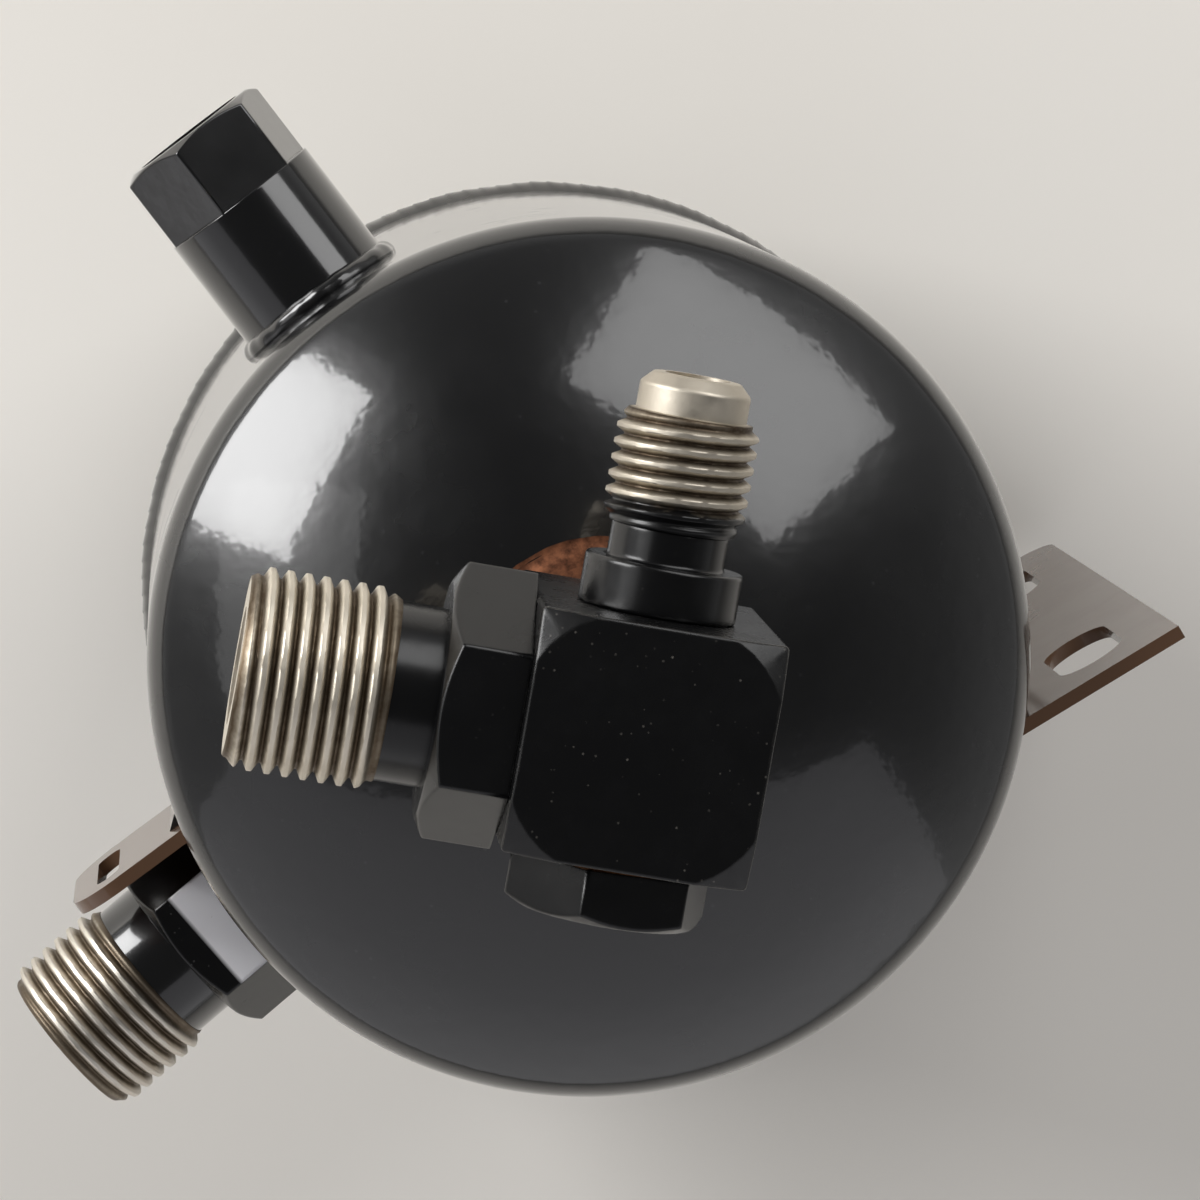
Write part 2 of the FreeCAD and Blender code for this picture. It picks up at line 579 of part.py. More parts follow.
def make_stem():
    """Shut-off stem with its disc, packing and gland nut, and the hexagon cap on its copper ring."""
    face = "block_flats / 2"
    disc_bottom = "-seat_depth + seat_gap + disc_lift"
    disc_top = f"{disc_bottom} + disc_thickness"
    disc = new_body("valve_disc")
    revolve(disc, "turning", ring("0", "disc_radius", disc_bottom, disc_top))
    bore(disc, "recess", "stem_tip_radius + running_gap", f"{disc_top} - stem_tip_length", disc_top)
    stem = new_body("valve_stem")
    shoulder = f"{disc_top} + running_gap"
    stem_end = f"{face} - stem_recess"
    tip = f"{disc_top} - stem_tip_length + running_gap"
    revolve(stem, "turning", [
        ("0", tip), ("stem_tip_radius", tip), ("stem_tip_radius", shoulder), ("stem_radius", shoulder),
        ("stem_radius", f"{stem_end} - stem_square_length"), ("0", f"{stem_end} - stem_square_length")])
    side = "stem_square / 2"
    square = [(side, side), (f"-{side}", side), (f"-{side}", f"-{side}"), (side, f"-{side}")]
    pad(stem, "square", square, f"{stem_end} - stem_square_length - stem_tip_length",
        "stem_square_length + stem_tip_length")
    packing = new_body("stem_packing")
    gland_foot = "packing_floor + packing_thickness"
    clear = "stem_radius + running_gap"
    revolve(packing, "ring", ring(clear, "stem_bore_radius", "packing_floor", gland_foot))
    gland = new_body("gland_nut")
    revolve(gland, "ring", ring(clear, "stem_bore_radius", gland_foot, f"{gland_foot} + gland_length"))
    gasket = new_body("cap_gasket")
    cap_foot = f"{face} + gasket_thickness"
    revolve(gasket, "ring", ring("cap_bore_radius + running_gap", "gasket_radius", face, cap_foot))
    cap = new_body("stem_cap")
    cap_end = f"{cap_foot} + cap_height"
    plug_foot = f"{face} - cap_bore_depth + cap_plug_gap"
    pad(cap, "hexagon", hexagon("cap_flats", "cap_twist"), cap_foot, "cap_height")
    revolve(cap, "plug", ring("0", "cap_bore_radius - running_gap", plug_foot, cap_end))
    crown(cap, "crown", "cap_flats * 0.485", "cap_flats / sqrt(3)", cap_end)
    bore(cap, "hollow", "cap_hollow_radius", plug_foot, f"{cap_end} - cap_hollow_depth")
    for piece in (disc, stem, packing, gland, gasket, cap):
        radial(piece, "outlet_angle + 90", "ports_height")


def make_pickup():
    """Pick-up tube from the spigot down to a windowed strainer near the rear head."""
    tube_top = "head_height - spigot_depth + pickup_socket"
    floor = "-(wall_length + head_height - shell_wall) + pickup_clearance"
    lid = f"{floor} + strainer_length"
    tube = new_body("pickup_tube")
    tube_foot = f"{lid} - strainer_length / 2"
    revolve(tube, "wall", ring("pickup_radius - pickup_wall", "pickup_radius", tube_foot, tube_top))
    cup = new_body("strainer")
    inner = "strainer_radius - strainer_wall"
    revolve(cup, "wall", [
        ("0", floor), ("strainer_radius", floor), ("strainer_radius", lid), ("pickup_radius", lid),
        ("pickup_radius", f"{lid} - strainer_wall"), (inner, f"{lid} - strainer_wall"),
        (inner, f"{floor} + strainer_wall"), ("0", f"{floor} + strainer_wall")])
    side = "window_width / 2"
    low = f"{floor} + strainer_length / 4"
    high = f"{lid} - strainer_length / 4"
    sketch = new_sketch(cup, "strainer_window_outline", "YZ_Plane")
    draw_outline(sketch, [(f"-{side}", low), (side, low), (side, high), (f"-{side}", high)])
    window = cup.newObject("PartDesign::Pocket", "strainer_window")
    window.Profile = sketch
    window.setExpression("Length", bound("2 * strainer_radius"))
    window.Reversed = True
    windows = cup.newObject("PartDesign::PolarPattern", "strainer_windows")
    windows.Originals = [window]
    windows.Axis = (sketch, ["V_Axis"])
    windows.Occurrences = 8
    cup.Tip = windows
    for piece in (tube, cup):
        upright(piece)


def weld_round(label, inner, outer, rise, angle, height, shell_form):
    """Fillet weld round a spigot in the wall, closed against the shell."""
    blank = new_body(f"{label}_blank", kept=False)
    foot = "shell_radius - shell_wall"
    revolve(blank, "fillet", [(inner, foot), (outer, foot), (outer, "shell_radius + running_gap"),
                              (inner, f"shell_radius + {rise}")])
    radial(blank, angle, height)
    cut_away(label, blank, [shell_form])


def make_sight_glass(shell_form):
    """Body with a hexagon at its outer end, holding a gasket, a glass and the ring that clamps them."""
    body = new_body("sight_glass_body")
    hex_foot = "boss_tip - boss_hex_length"
    round_radius = "boss_flats / sqrt(3)"
    pad(body, "hexagon", hexagon("boss_flats", "boss_twist"), hex_foot, "boss_hex_length")
    revolve(body, "turning", ring("0", round_radius, "inlet_spigot_inner", hex_foot))
    crown(body, "crown", "boss_flats * 0.485", round_radius, "boss_tip")
    bore(body, "way", "boss_bore_radius", "inlet_spigot_inner", "boss_tip")
    ring_top = "boss_tip - retainer_recess"
    glass_top = f"{ring_top} - retainer_height"
    glass_foot = f"{glass_top} - glass_thickness"
    seat = f"{glass_foot} - glass_gasket"
    bore(body, "seat", "glass_seat_radius", seat, "boss_tip")
    gasket = new_body("glass_gasket")
    revolve(gasket, "ring", ring("boss_bore_radius", "glass_seat_radius - glass_gap", seat, glass_foot))
    glass = new_body("sight_glass")
    revolve(glass, "disc", ring("0", "glass_seat_radius - glass_gap", glass_foot, glass_top))
    retainer = new_body("glass_retainer")
    revolve(retainer, "ring", ring("retainer_hole_radius", "glass_seat_radius", glass_top, ring_top))
    for piece in (body, gasket, glass, retainer):
        radial(piece, "glass_angle", "-glass_height")
    weld_round("sight_glass_weld", round_radius, "boss_weld_radius", "boss_weld_rise",
               "glass_angle", "-glass_height", shell_form)


def make_inlet(shell_form):
    """Inlet welded through the wall: spigot, hexagon, neck and thread, drilled through."""
    inlet = new_body("inlet_fitting")
    hex_end = "inlet_hex_start + inlet_hex_length"
    pad(inlet, "hexagon", hexagon("inlet_flats"), "inlet_hex_start", "inlet_hex_length")
    spigot = [("0", "inlet_spigot_inner"), ("inlet_spigot_radius", "inlet_spigot_inner"),
              ("inlet_spigot_radius", hex_end)]
    end = threaded_end(hex_end, "inlet_neck_length", "inlet_thread_length")
    revolve(inlet, "turning", spigot + end)
    crown(inlet, "crown", "inlet_flats * 0.485", "inlet_flats / sqrt(3)", hex_end)
    bore(inlet, "way", "flare_bore_radius", "inlet_spigot_inner", end[-1][1])
    radial(inlet, "inlet_angle", "-inlet_height")
    weld_round("inlet_weld", "inlet_spigot_radius", "inlet_weld_radius", "(inlet_hex_start - shell_radius)",
               "inlet_angle", "-inlet_height", shell_form)


def slot_outline(across, width, middle, length):
    """Corners and centres of a slot with round ends, long way up."""
    half = f"{width} / 2"
    top = f"{middle} + {length} / 2"
    bottom = f"{middle} - {length} / 2"
    left, right = f"{across} - {half}", f"{across} + {half}"
    high, low = f"{top} - {half}", f"{bottom} + {half}"
    corners = [(left, low), (across, bottom), (right, low), (right, high), (across, top), (left, high)]
    upper, lower = (across, high), (across, low)
    return corners, {0: lower, 1: lower, 3: upper, 4: upper}


def sheet_plate(label, face, thickness, reach, top, length, round_top, round_bottom, slots, angle, tools):
    """Flat plate standing on the wall along the vessel, with slots, closed against the shell."""
    blank = new_body(f"{label}_blank", kept=False)
    low, high = f"-({top} + {length})", f"-{top}"
    root = "shell_radius / 2"
    corners = [(root, low)]
    centres = {}
    for height, radius, step in ((low, round_bottom, 1), (high, round_top, -1)):
        if radius is None:
            corners.append((reach, height))
            continue
        inward = f"{height} + {radius}" if step > 0 else f"{height} - {radius}"
        rounded = [(f"{reach} - {radius}", height), (reach, inward)]
        centres[len(corners)] = (f"{reach} - {radius}", inward)
        corners.extend(rounded if step > 0 else reversed(rounded))
    corners.append((root, high))
    pad(blank, "sheet", corners, face, thickness, "XZ_Plane", centres)
    for number, (across, width, middle, slot_length) in enumerate(slots, start=1):
        outline, ends = slot_outline(across, width, middle, slot_length)
        sketch = new_sketch(blank, f"{label}_slot_outline{number}", "XZ_Plane", face)
        draw_outline(sketch, outline, ends)
        slot = blank.newObject("PartDesign::Pocket", f"{label}_slot{number}")
        slot.Profile = sketch
        slot.setExpression("Length", bound(thickness))
        slot.Reversed = True
    upright(blank, angle)
    cut_away(label, blank, tools)


def stitch(label, face, side, start, angle, shell_form):
    """One stitch weld in the corner between a plate's face and the shell; side is 1 or -1 along Y."""
    blank = new_body(f"{label}_blank", kept=False)
    away = f"({face} + {side} * stitch_leg)"
    foot = f"sqrt(shell_radius^2 - ({face})^2)"
    corners = [(f"{foot} - stitch_leg", face), (f"{foot} + stitch_leg", face),
               (f"sqrt(shell_radius^2 - {away}^2)", away)]
    pad(blank, "bead", corners, start, "stitch_length")
    upright(blank, angle)
    cut_away(label, blank, [shell_form])


def make_bracket(shell_form):
    """Slotted bracket plate on one side, strap ear on the other, and their stitch welds."""
    across = "plate_reach - slot_edge"
    middle = "-(plate_top + plate_length / 2)"
    slots = [(across, "slot_width", f"{middle} + {sign} * slot_spacing / 2", "slot_length")
             for sign in (1, -1)]
    relief_foot = "-girth_height - girth_bead_width / 2 - bead_relief"
    bead_way = rod("bead_way", "shell_radius + girth_bead_rise + bead_relief", relief_foot,
                   f"{relief_foot} + girth_bead_width + 2 * bead_relief", upright_placement())
    sheet_plate("bracket_plate", "plate_offset", "plate_thickness", "plate_reach", "plate_top",
                "plate_length", None, "plate_corner", slots, "0", [shell_form, bead_way])
    ear_top = "(inlet_height - ear_rise - ear_length)"
    ear_middle = f"-({ear_top} + ear_length / 2)"
    hex_breadth = f"(inlet_flats / sqrt(3) - ear_rise * {CROWN_SLOPE})"
    lean = "inlet_hex_start * sin((inlet_angle - ear_angle) * 1 deg)"
    ear_face = f"({hex_breadth} + ear_gap - {lean})"
    strap_slot = ("ear_reach - strap_slot_edge", "strap_slot_width", ear_middle, "strap_slot_length")
    sheet_plate("strap_ear", ear_face, "ear_thickness", "ear_reach", ear_top, "ear_length",
                "ear_corner", "ear_corner", [strap_slot], "ear_angle", [shell_form])
    free_wall = "(girth_height - girth_bead_width / 2 - plate_top - 3 * stitch_length) / 3"
    for number in range(3):
        start = f"-plate_top - {free_wall} / 2 - stitch_length - {number} * ({free_wall} + stitch_length)"
        stitch(f"bracket_stitch_inner_{number + 1}", "-plate_offset", 1, start, "0", shell_form)
        stitch(f"bracket_stitch_outer_{number + 1}", "-(plate_offset + plate_thickness)", -1, start, "0",
               shell_form)
    ear_start = f"{ear_middle} - stitch_length / 2"
    stitch("ear_stitch_outer", f"-({ear_face} + ear_thickness)", -1, ear_start, "ear_angle", shell_form)


def check_and_write():
    """Stop on any failed object or bad shape, then write one STEP file per sub-part."""
    doc.recompute()
    for item in doc.Objects:
        faults = [state for state in item.State if state in ("Invalid", "Error")]
        if faults:
            raise RuntimeError(f"{item.Name} ({item.Label}) did not compute: {item.State}")
    os.makedirs("parts", exist_ok=True)
    for piece in pieces:
        shape = piece.Shape
        if shape.isNull() or not shape.isValid() or len(shape.Solids) != 1:
            raise RuntimeError(f"{piece.Label} is not one valid solid")
        shape.exportStep(os.path.join("parts", f"{piece.Label}.step"))


fill_sheet()
make_shell()
shell_form = rod("shell_form", "shell_radius", "-2 * wall_length", "shell_radius", upright_placement())
make_valve_block()
make_braze()
make_outlet()
make_service_port()
make_stem()
make_pickup()
make_sight_glass(shell_form)
make_inlet(shell_form)
make_bracket(shell_form)
check_and_write()
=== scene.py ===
import bpy
import bmesh
import math
from mathutils import Matrix, Vector, noise


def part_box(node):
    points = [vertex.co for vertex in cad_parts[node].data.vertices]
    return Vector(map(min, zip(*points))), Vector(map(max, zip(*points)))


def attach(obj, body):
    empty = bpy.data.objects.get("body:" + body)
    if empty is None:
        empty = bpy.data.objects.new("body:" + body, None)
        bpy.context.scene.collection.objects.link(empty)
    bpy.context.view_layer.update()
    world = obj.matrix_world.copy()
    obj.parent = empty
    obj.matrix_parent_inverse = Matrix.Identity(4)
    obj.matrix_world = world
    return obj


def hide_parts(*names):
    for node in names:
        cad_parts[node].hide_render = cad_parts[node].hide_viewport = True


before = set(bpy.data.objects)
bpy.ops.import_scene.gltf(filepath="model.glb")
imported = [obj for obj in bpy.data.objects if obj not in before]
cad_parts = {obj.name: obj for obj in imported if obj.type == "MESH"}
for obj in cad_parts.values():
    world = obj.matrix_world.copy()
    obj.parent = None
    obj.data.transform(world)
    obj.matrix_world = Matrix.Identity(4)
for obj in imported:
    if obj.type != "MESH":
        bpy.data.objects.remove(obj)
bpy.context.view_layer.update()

MM = 0.001
VESSEL_ZERO = Vector((-38.2, 26.2, 42.5))

SHELL_RADIUS = 38.1
SHELL_WALL = 1.6
WALL_LENGTH = 66.0
HEAD_HEIGHT = 16.0
KNUCKLE = 5.0
GIRTH_HEIGHT = 60.0
GIRTH_BEAD_WIDTH = 5.0
GIRTH_BEAD_RISE = 0.9
SPIGOT_RADIUS = 9.0
BLOCK_FLATS = 19.05
BLOCK_FACE = 58.0
BLOCK_REAR = 30.0
BLOCK_CROWN = 10.95
PORTS_HEIGHT = 46.5
OUTLET_ANGLE = 139.0
SERVICE_ANGLE = 49.0
CAP_ANGLE = 229.0
INLET_ANGLE = 189.3
GLASS_ANGLE = 96.3
INLET_NECK = 3.9
INLET_THREAD = 10.0
THREAD_RADIUS = 7.9375
THREAD_PITCH = 1.4111
THREAD_DEPTH = 0.78
FLARE_NECK = 7.05
FLARE_BORE = 4.6
SERVICE_THREAD_RADIUS = 5.556
SERVICE_PITCH = 1.27
SERVICE_DEPTH = 0.68

SPIGOT_BORE = 4.0
SPIGOT_FOOT = 12.0
TUBE_SOCKET = 5.0
TUBE_SOCKET_TOP = 18.0
BRAZE_RADIUS = 12.2
BRAZE_RISE = 2.6
TAIL_LENGTH = 4.0
OUTLET_TAIL = 6.4
OUTLET_FLATS = 19.05
OUTLET_HEX_LENGTH = 6.4
OUTLET_NECK = 3.6
OUTLET_THREAD = 11.8
SERVICE_TAIL = 4.2
SERVICE_COLLAR = 6.2
SERVICE_COLLAR_LENGTH = 3.9
SERVICE_NECK = 4.6
SERVICE_NECK_LENGTH = 2.7
SERVICE_THREAD = 8.9
NOSE_RADIUS = 4.35
NOSE_LENGTH = 3.0
SEAT_RADIUS = 3.4
CORE_BORE = 2.55
SEAT_HOLE = 1.5
SEAT_DEPTH = 4.0
DISC_BORE = 3.7
PACKING_FLOOR = 2.6
STEM_BORE = 4.5
CAP_BORE = 6.3
CAP_BORE_DEPTH = 3.0
CAP_GASKET = 0.7
CAP_FLATS = 14.3
CAP_TWIST = -13.0
CAP_HEIGHT = 4.3
CAP_PLUG_GAP = 0.2
CAP_PLUG = 6.25
CAP_HOLLOW = 3.4
GLASS_HEIGHT = -17.0
BOSS_FLATS = 12.7
BOSS_TWIST = 15.0
BOSS_TIP = 56.3
BOSS_HEX_LENGTH = 7.4
BOSS_BORE = 3.9
BOSS_INNER = 33.0
GLASS_SEAT = 5.2
GLASS_STACK = (0.5, 1.8, 3.2, 0.8)
INLET_HEIGHT = -32.0
INLET_FLATS = 17.5
INLET_HEX_START = 39.2
INLET_HEX_LENGTH = 6.9
INLET_SPIGOT = 6.9
INLET_INNER = 35.0
CROWN_SHARE = 0.485
CORNER = 0.3
LAP = 0.2
BEYOND = 20

# Sizes of the surface patterns, each the width of one patch.
PEEL = 2.2
PAINT_GRAIN = 0.35
GRAIN_HEIGHT = 0.004
DUST_GAP = 1.9
SMUDGE = 14.0
WORN_EDGE = 0.35
WEAR_PATCH = 1.6
CHIP_GAP = 0.9
BRUSHED_PEEL = 1.1
HANDLING = 6.0
# Size of the gaps in the painted highlight on the inlet hexagon.
GLARE_GAP_SIZE = 0.9
STAIN = 1.6
TOOL_MARK = 0.3
RAGGED = 1.2
RUBBER_GRAIN = 0.5
SMEAR = 3.0
MOTTLE = 120.0
PAINT_IOR = 1.5


# ---- placing ----

def upright(angle=0.0):
    """Vessel frame turned about its axis, as a matrix in millimetres."""
    return Matrix.Translation(VESSEL_ZERO) @ Matrix.Rotation(math.radians(angle), 4, "Z")


def outward(angle, height):
    """Local Z points out of the vessel at that angle and height, and local X points up its axis."""
    out = Vector((math.cos(math.radians(angle)), math.sin(math.radians(angle)), 0))
    up = Vector((0, 0, 1))
    side = out.cross(up)
    turn = Matrix((up, side, out)).transposed().to_4x4()
    return Matrix.Translation(VESSEL_ZERO + up * height) @ turn


# ---- meshes ----

def make_piece(name, verts, faces, place, smooth_angle=38.0):
    """Mesh object from millimetre corners, in the shared frame in metres."""
    mesh = bpy.data.meshes.new(name)
    mesh.from_pydata([(place @ Vector(v)) * MM for v in verts], [], faces)
    mesh.validate()
    form = bmesh.new()
    form.from_mesh(mesh)
    bmesh.ops.remove_doubles(form, verts=form.verts, dist=2e-6)
    bmesh.ops.recalc_face_normals(form, faces=form.faces)
    for edge in form.edges:
        bent = len(edge.link_faces) == 2 and edge.calc_face_angle(0) > math.radians(smooth_angle)
        edge.smooth = not bent
    form.to_mesh(mesh)
    form.free()
    for face in mesh.polygons:
        face.use_smooth = True
    piece = bpy.data.objects.new(name, mesh)
    bpy.context.scene.collection.objects.link(piece)
    return piece


def keep_flats_flat(piece):
    """Large faces keep their own normal, and the small rounds beside them take up the turn."""
    even = piece.modifiers.new("even", "WEIGHTED_NORMAL")
    even.keep_sharp = True
    even.weight = 100


def grid_faces(rows, columns, closed_rows):
    """Quads between rows of points; every row closes on itself, and the rows may close too."""
    faces = []
    for i in range(rows if closed_rows else rows - 1):
        for j in range(columns):
            below, above = i * columns, (i + 1) % rows * columns
            faces.append((below + j, below + (j + 1) % columns, above + (j + 1) % columns, above + j))
    return faces


def rounded(corners, radius, steps=4):
    """Run of points with each inner corner replaced by a small arc; the two ends stay.
    A point just before and after each arc keeps the flat beside it flat."""
    points = [corners[0]]
    for before, here, after in zip(corners, corners[1:], corners[2:]):
        a, p, b = Vector(before), Vector(here), Vector(after)
        reach = min(radius, (a - p).length * 0.4, (b - p).length * 0.4)
        if reach < 1e-4:
            points.extend([here] * (steps + 3))
            continue
        start, finish = p + (a - p).normalized() * reach, p + (b - p).normalized() * reach
        points.append(tuple(start + (a - p).normalized() * reach * 0.15))
        for k in range(steps + 1):
            t = k / steps
            blend = start * (1 - t) ** 2 + p * 2 * t * (1 - t) + finish * t * t
            points.append(tuple(blend))
        points.append(tuple(finish + (b - p).normalized() * reach * 0.15))
    points.append(corners[-1])
    return points


def lathe(name, profile, place, segments=192, shift=None):
    """Closed solid of revolution; profile runs (radius, height) and shift may move a point by its angle."""
    verts = []
    for radius, height in profile:
        for j in range(segments):
            angle = 2 * math.pi * j / segments
            r, z = shift(radius, height, angle) if shift else (radius, height)
            verts.append((r * math.cos(angle), r * math.sin(angle), z))
    closed = profile[0][0] > 1e-6
    return make_piece(name, verts, grid_faces(len(profile), segments, closed), place)


def arc(centre, radius, start, finish, steps):
    """Points of an arc, angles in degrees from the radius axis."""
    angles = [math.radians(start + (finish - start) * k / steps) for k in range(steps + 1)]
    return [(centre[0] + radius * math.cos(a), centre[1] + radius * math.sin(a)) for a in angles]


def outline(sides, flats, corner, twist=0.0):
    """Corner-rounded regular polygon, flats across, first flat facing local X."""
    half = flats / 2
    turn = math.pi / sides
    points = []
    for k in range(sides):
        middle = math.radians(twist) + 2 * turn * k
        tip = middle + turn
        side = half * math.tan(turn) - corner * math.tan(turn)
        normal = Vector((math.cos(middle), math.sin(middle)))
        along = Vector((-math.sin(middle), math.cos(middle)))
        for share in (-1, -0.985, -0.8, -0.6, -0.4, -0.2, 0, 0.2, 0.4, 0.6, 0.8, 0.985, 1):
            points.append(normal * half + along * side * share)
        hub = Vector((math.cos(tip), math.sin(tip))) * ((half - corner) / math.cos(turn))
        for step in range(1, 6):
            a = middle + 2 * turn * step / 6
            points.append(hub + Vector((math.cos(a), math.sin(a))) * corner)
    return points


def crowned_run(reach, crown_radius, face, edge):
    """Profile of a bar's end: side wall, 30 degree crown and face, every corner rounded by edge."""
    slope = math.radians(30)
    across, along = math.sin(slope), math.cos(slope)
    level = crown_radius * across + face * along - edge
    inner = min((level - (face - edge) * along) / across, reach - edge)
    outer = (reach - edge, min((level - (reach - edge) * across) / along, face - edge))
    return ([(reach, outer[1] - 0.05)] + arc(outer, edge, 0, 60, 4)
            + arc((inner, face - edge), edge, 60, 90, 3)
            + [(inner - 0.05, face)])


def bar_end(name, points, foot, face, crown_radius, bore, place, edge=0.25):
    """Bar with a turned 30 degree crown on its outer face, and a plain bore or none."""
    columns = []
    for point in points:
        run = [(bore, foot), (point.length - 0.05, foot), (point.length, foot + 0.05)]
        run += crowned_run(point.length, crown_radius, face, edge) + [(bore, face)]
        columns.append((point.normalized(), run))
    rows = len(columns[0][1])
    verts = []
    for i in range(rows):
        for unit, run in columns:
            radius, height = run[i]
            verts.append((unit.x * radius, unit.y * radius, height))
    return make_piece(name, verts, grid_faces(rows, len(columns), bore > 1e-6), place, 50.0)


def thread_wave(phase):
    """Height of a 60 degree thread, 0 in the root and 1 on the crest, with narrow flats on both."""
    slope = abs((phase % 1.0) - 0.5) * 2
    return min(max((slope - 0.12) / 0.6, 0.0), 1.0)


def threaded(name, radius, depth, pitch, foot, length, bore, inner_radius, end_run, place, segments=160):
    """Right-hand helical thread on a sleeve, fading out at both ends; end_run closes it to the bore."""
    per_pitch = 16
    rows = int(round(length / pitch * per_pitch))
    verts = []
    lines = [(bore, foot), (inner_radius, foot)]
    count = 0
    for radius_here, height in lines:
        for j in range(segments):
            a = 2 * math.pi * j / segments
            verts.append((radius_here * math.cos(a), radius_here * math.sin(a), height))
        count += 1
    for i in range(rows + 1):
        height = foot + length * i / rows
        for j in range(segments):
            a = 2 * math.pi * j / segments
            turn = (height - foot) / pitch - a / (2 * math.pi)
            fade = min(1.0, (height - foot) / (0.9 * pitch), (foot + length - height) / (0.7 * pitch))
            crest = radius - depth + depth * thread_wave(turn) * max(fade, 0.0)
            wear = 0.02 * noise.noise(Vector((math.cos(a) * 5, math.sin(a) * 5, height * 2)))
            crest += (wear - 0.02) * thread_wave(turn)
            verts.append((crest * math.cos(a), crest * math.sin(a), height))
        count += 1
    for radius_here, height in end_run + [(bore, end_run[-1][1])]:
        for j in range(segments):
            a = 2 * math.pi * j / segments
            verts.append((radius_here * math.cos(a), radius_here * math.sin(a), height))
        count += 1
    return make_piece(name, verts, grid_faces(count, segments, True), place, 50.0)


# ---- materials ----

def linear(code):
    """Hex sRGB colour as linear RGBA."""
    parts = [int(code[i:i + 2], 16) / 255 for i in (0, 2, 4)]
    return [c / 12.92 if c <= 0.04045 else ((c + 0.055) / 1.055) ** 2.4 for c in parts] + [1.0]


def grey(level):
    """Neutral colour of that linear level."""
    return [level, level, level, 1.0]


def patches(size):
    """Texture scale whose patches are size millimetres across, on places given in metres."""
    return 1000.0 / size


def add(tree, kind, settings=None, **links):
    """One node with its settings and inputs; a link is (node, output) and anything else is a value.
    An input goes by its name, or by its place as i0, i1; stops gives a ramp's (position, colour) pairs."""
    node = tree.nodes.new(kind)
    for key, value in (settings or {}).items():
        if key != "stops":
            setattr(node, key, value)
            continue
        line = node.color_ramp.elements
        while len(line) < len(value):
            line.new(0.5)
        for element, (position, colour) in zip(line, value):
            element.position = position
            element.color = colour
    for key, value in links.items():
        by_place = key[0] == "i" and key[1:].isdigit()
        socket = node.inputs[int(key[1:]) if by_place else key.replace("_", " ")]
        if isinstance(value, tuple) and len(value) == 2 and hasattr(value[0], "outputs"):
            tree.links.new(value[0].outputs[value[1]], socket)
        else:
            socket.default_value = value
    return node


def new_material(name):
    """Empty node material, its tree, and the link that gives places on the object in metres."""
    material = bpy.data.materials.new(name)
    material.use_nodes = True
    tree = material.node_tree
    tree.nodes.clear()
    return material, tree, (add(tree, "ShaderNodeTexCoord"), "Object")


def finish_material(tree, shader, output="BSDF"):
    """Send the shader to the surface."""
    add(tree, "ShaderNodeOutputMaterial", Surface=(shader, output))


def paint(name, colour, dull, gloss, peel_height, dust):
    """Black enamel: orange peel breaks up reflections, and fine dust lifts the black."""
    material, tree, place = new_material(name)
    peel = add(tree, "ShaderNodeTexNoise", Vector=place, Scale=patches(PEEL), Detail=2.0, Roughness=0.5)
    grain = add(tree, "ShaderNodeTexNoise", Vector=place, Scale=patches(PAINT_GRAIN), Detail=4.0,
                Roughness=0.6)
    rise = add(tree, "ShaderNodeBump", Strength=0.35, Distance=peel_height * MM, Height=(peel, "Fac"))
    fine = add(tree, "ShaderNodeBump", Strength=0.25, Distance=GRAIN_HEIGHT * MM, Height=(grain, "Fac"),
               Normal=(rise, "Normal"))
    specks = add(tree, "ShaderNodeTexVoronoi", {"feature": "F1"}, Vector=place, Scale=patches(DUST_GAP))
    spots = add(tree, "ShaderNodeValToRGB",
                {"stops": [(0.0, grey(dust)), (0.06, grey(dust * 0.4)), (0.11, grey(0.0))]},
                Fac=(specks, "Distance"))
    smudge = add(tree, "ShaderNodeTexNoise", Vector=place, Scale=patches(SMUDGE), Detail=4.0, Roughness=0.6)
    haze = add(tree, "ShaderNodeValToRGB", {"stops": [(0.42, grey(gloss)), (0.72, grey(gloss + 0.07))]},
               Fac=(smudge, "Fac"))
    tint = add(tree, "ShaderNodeMix", {"data_type": "RGBA"}, i0=(spots, "Color"),
               i6=linear(colour), i7=linear(dull))
    shader = add(tree, "ShaderNodeBsdfPrincipled", Base_Color=(tint, 2), Roughness=(haze, "Color"),
                 Normal=(fine, "Normal"), IOR=PAINT_IOR, Coat_Weight=1.0, Coat_Roughness=0.07,
                 Coat_Normal=(rise, "Normal"))
    finish_material(tree, shader)
    return material


def edge_mask(tree, radius):
    """Is near 1 on outer edges within radius millimetres, where paint wears first."""
    around = add(tree, "ShaderNodeNewGeometry")
    round_normal = add(tree, "ShaderNodeBevel", {"samples": 8}, Radius=radius * MM)
    turn = add(tree, "ShaderNodeVectorMath", {"operation": "DOT_PRODUCT"},
               i0=(around, "Normal"), i1=(round_normal, "Normal"))
    edges = add(tree, "ShaderNodeValToRGB", {"stops": [(0.86, grey(1.0)), (0.985, grey(0.0))]},
                Fac=(turn, "Value"))
    return edges, round_normal


def in_fitting(tree, place, angle, height):
    """Position in a fitting's own frame: X up the vessel, Z outward, read as separate numbers."""
    frame_in = outward(angle, height).inverted()
    local = add(tree, "ShaderNodeMapping", {"vector_type": "POINT"}, Vector=place,
                Location=frame_in.translation * MM, Rotation=frame_in.to_euler())
    return add(tree, "ShaderNodeSeparateXYZ", Vector=(local, "Vector"))


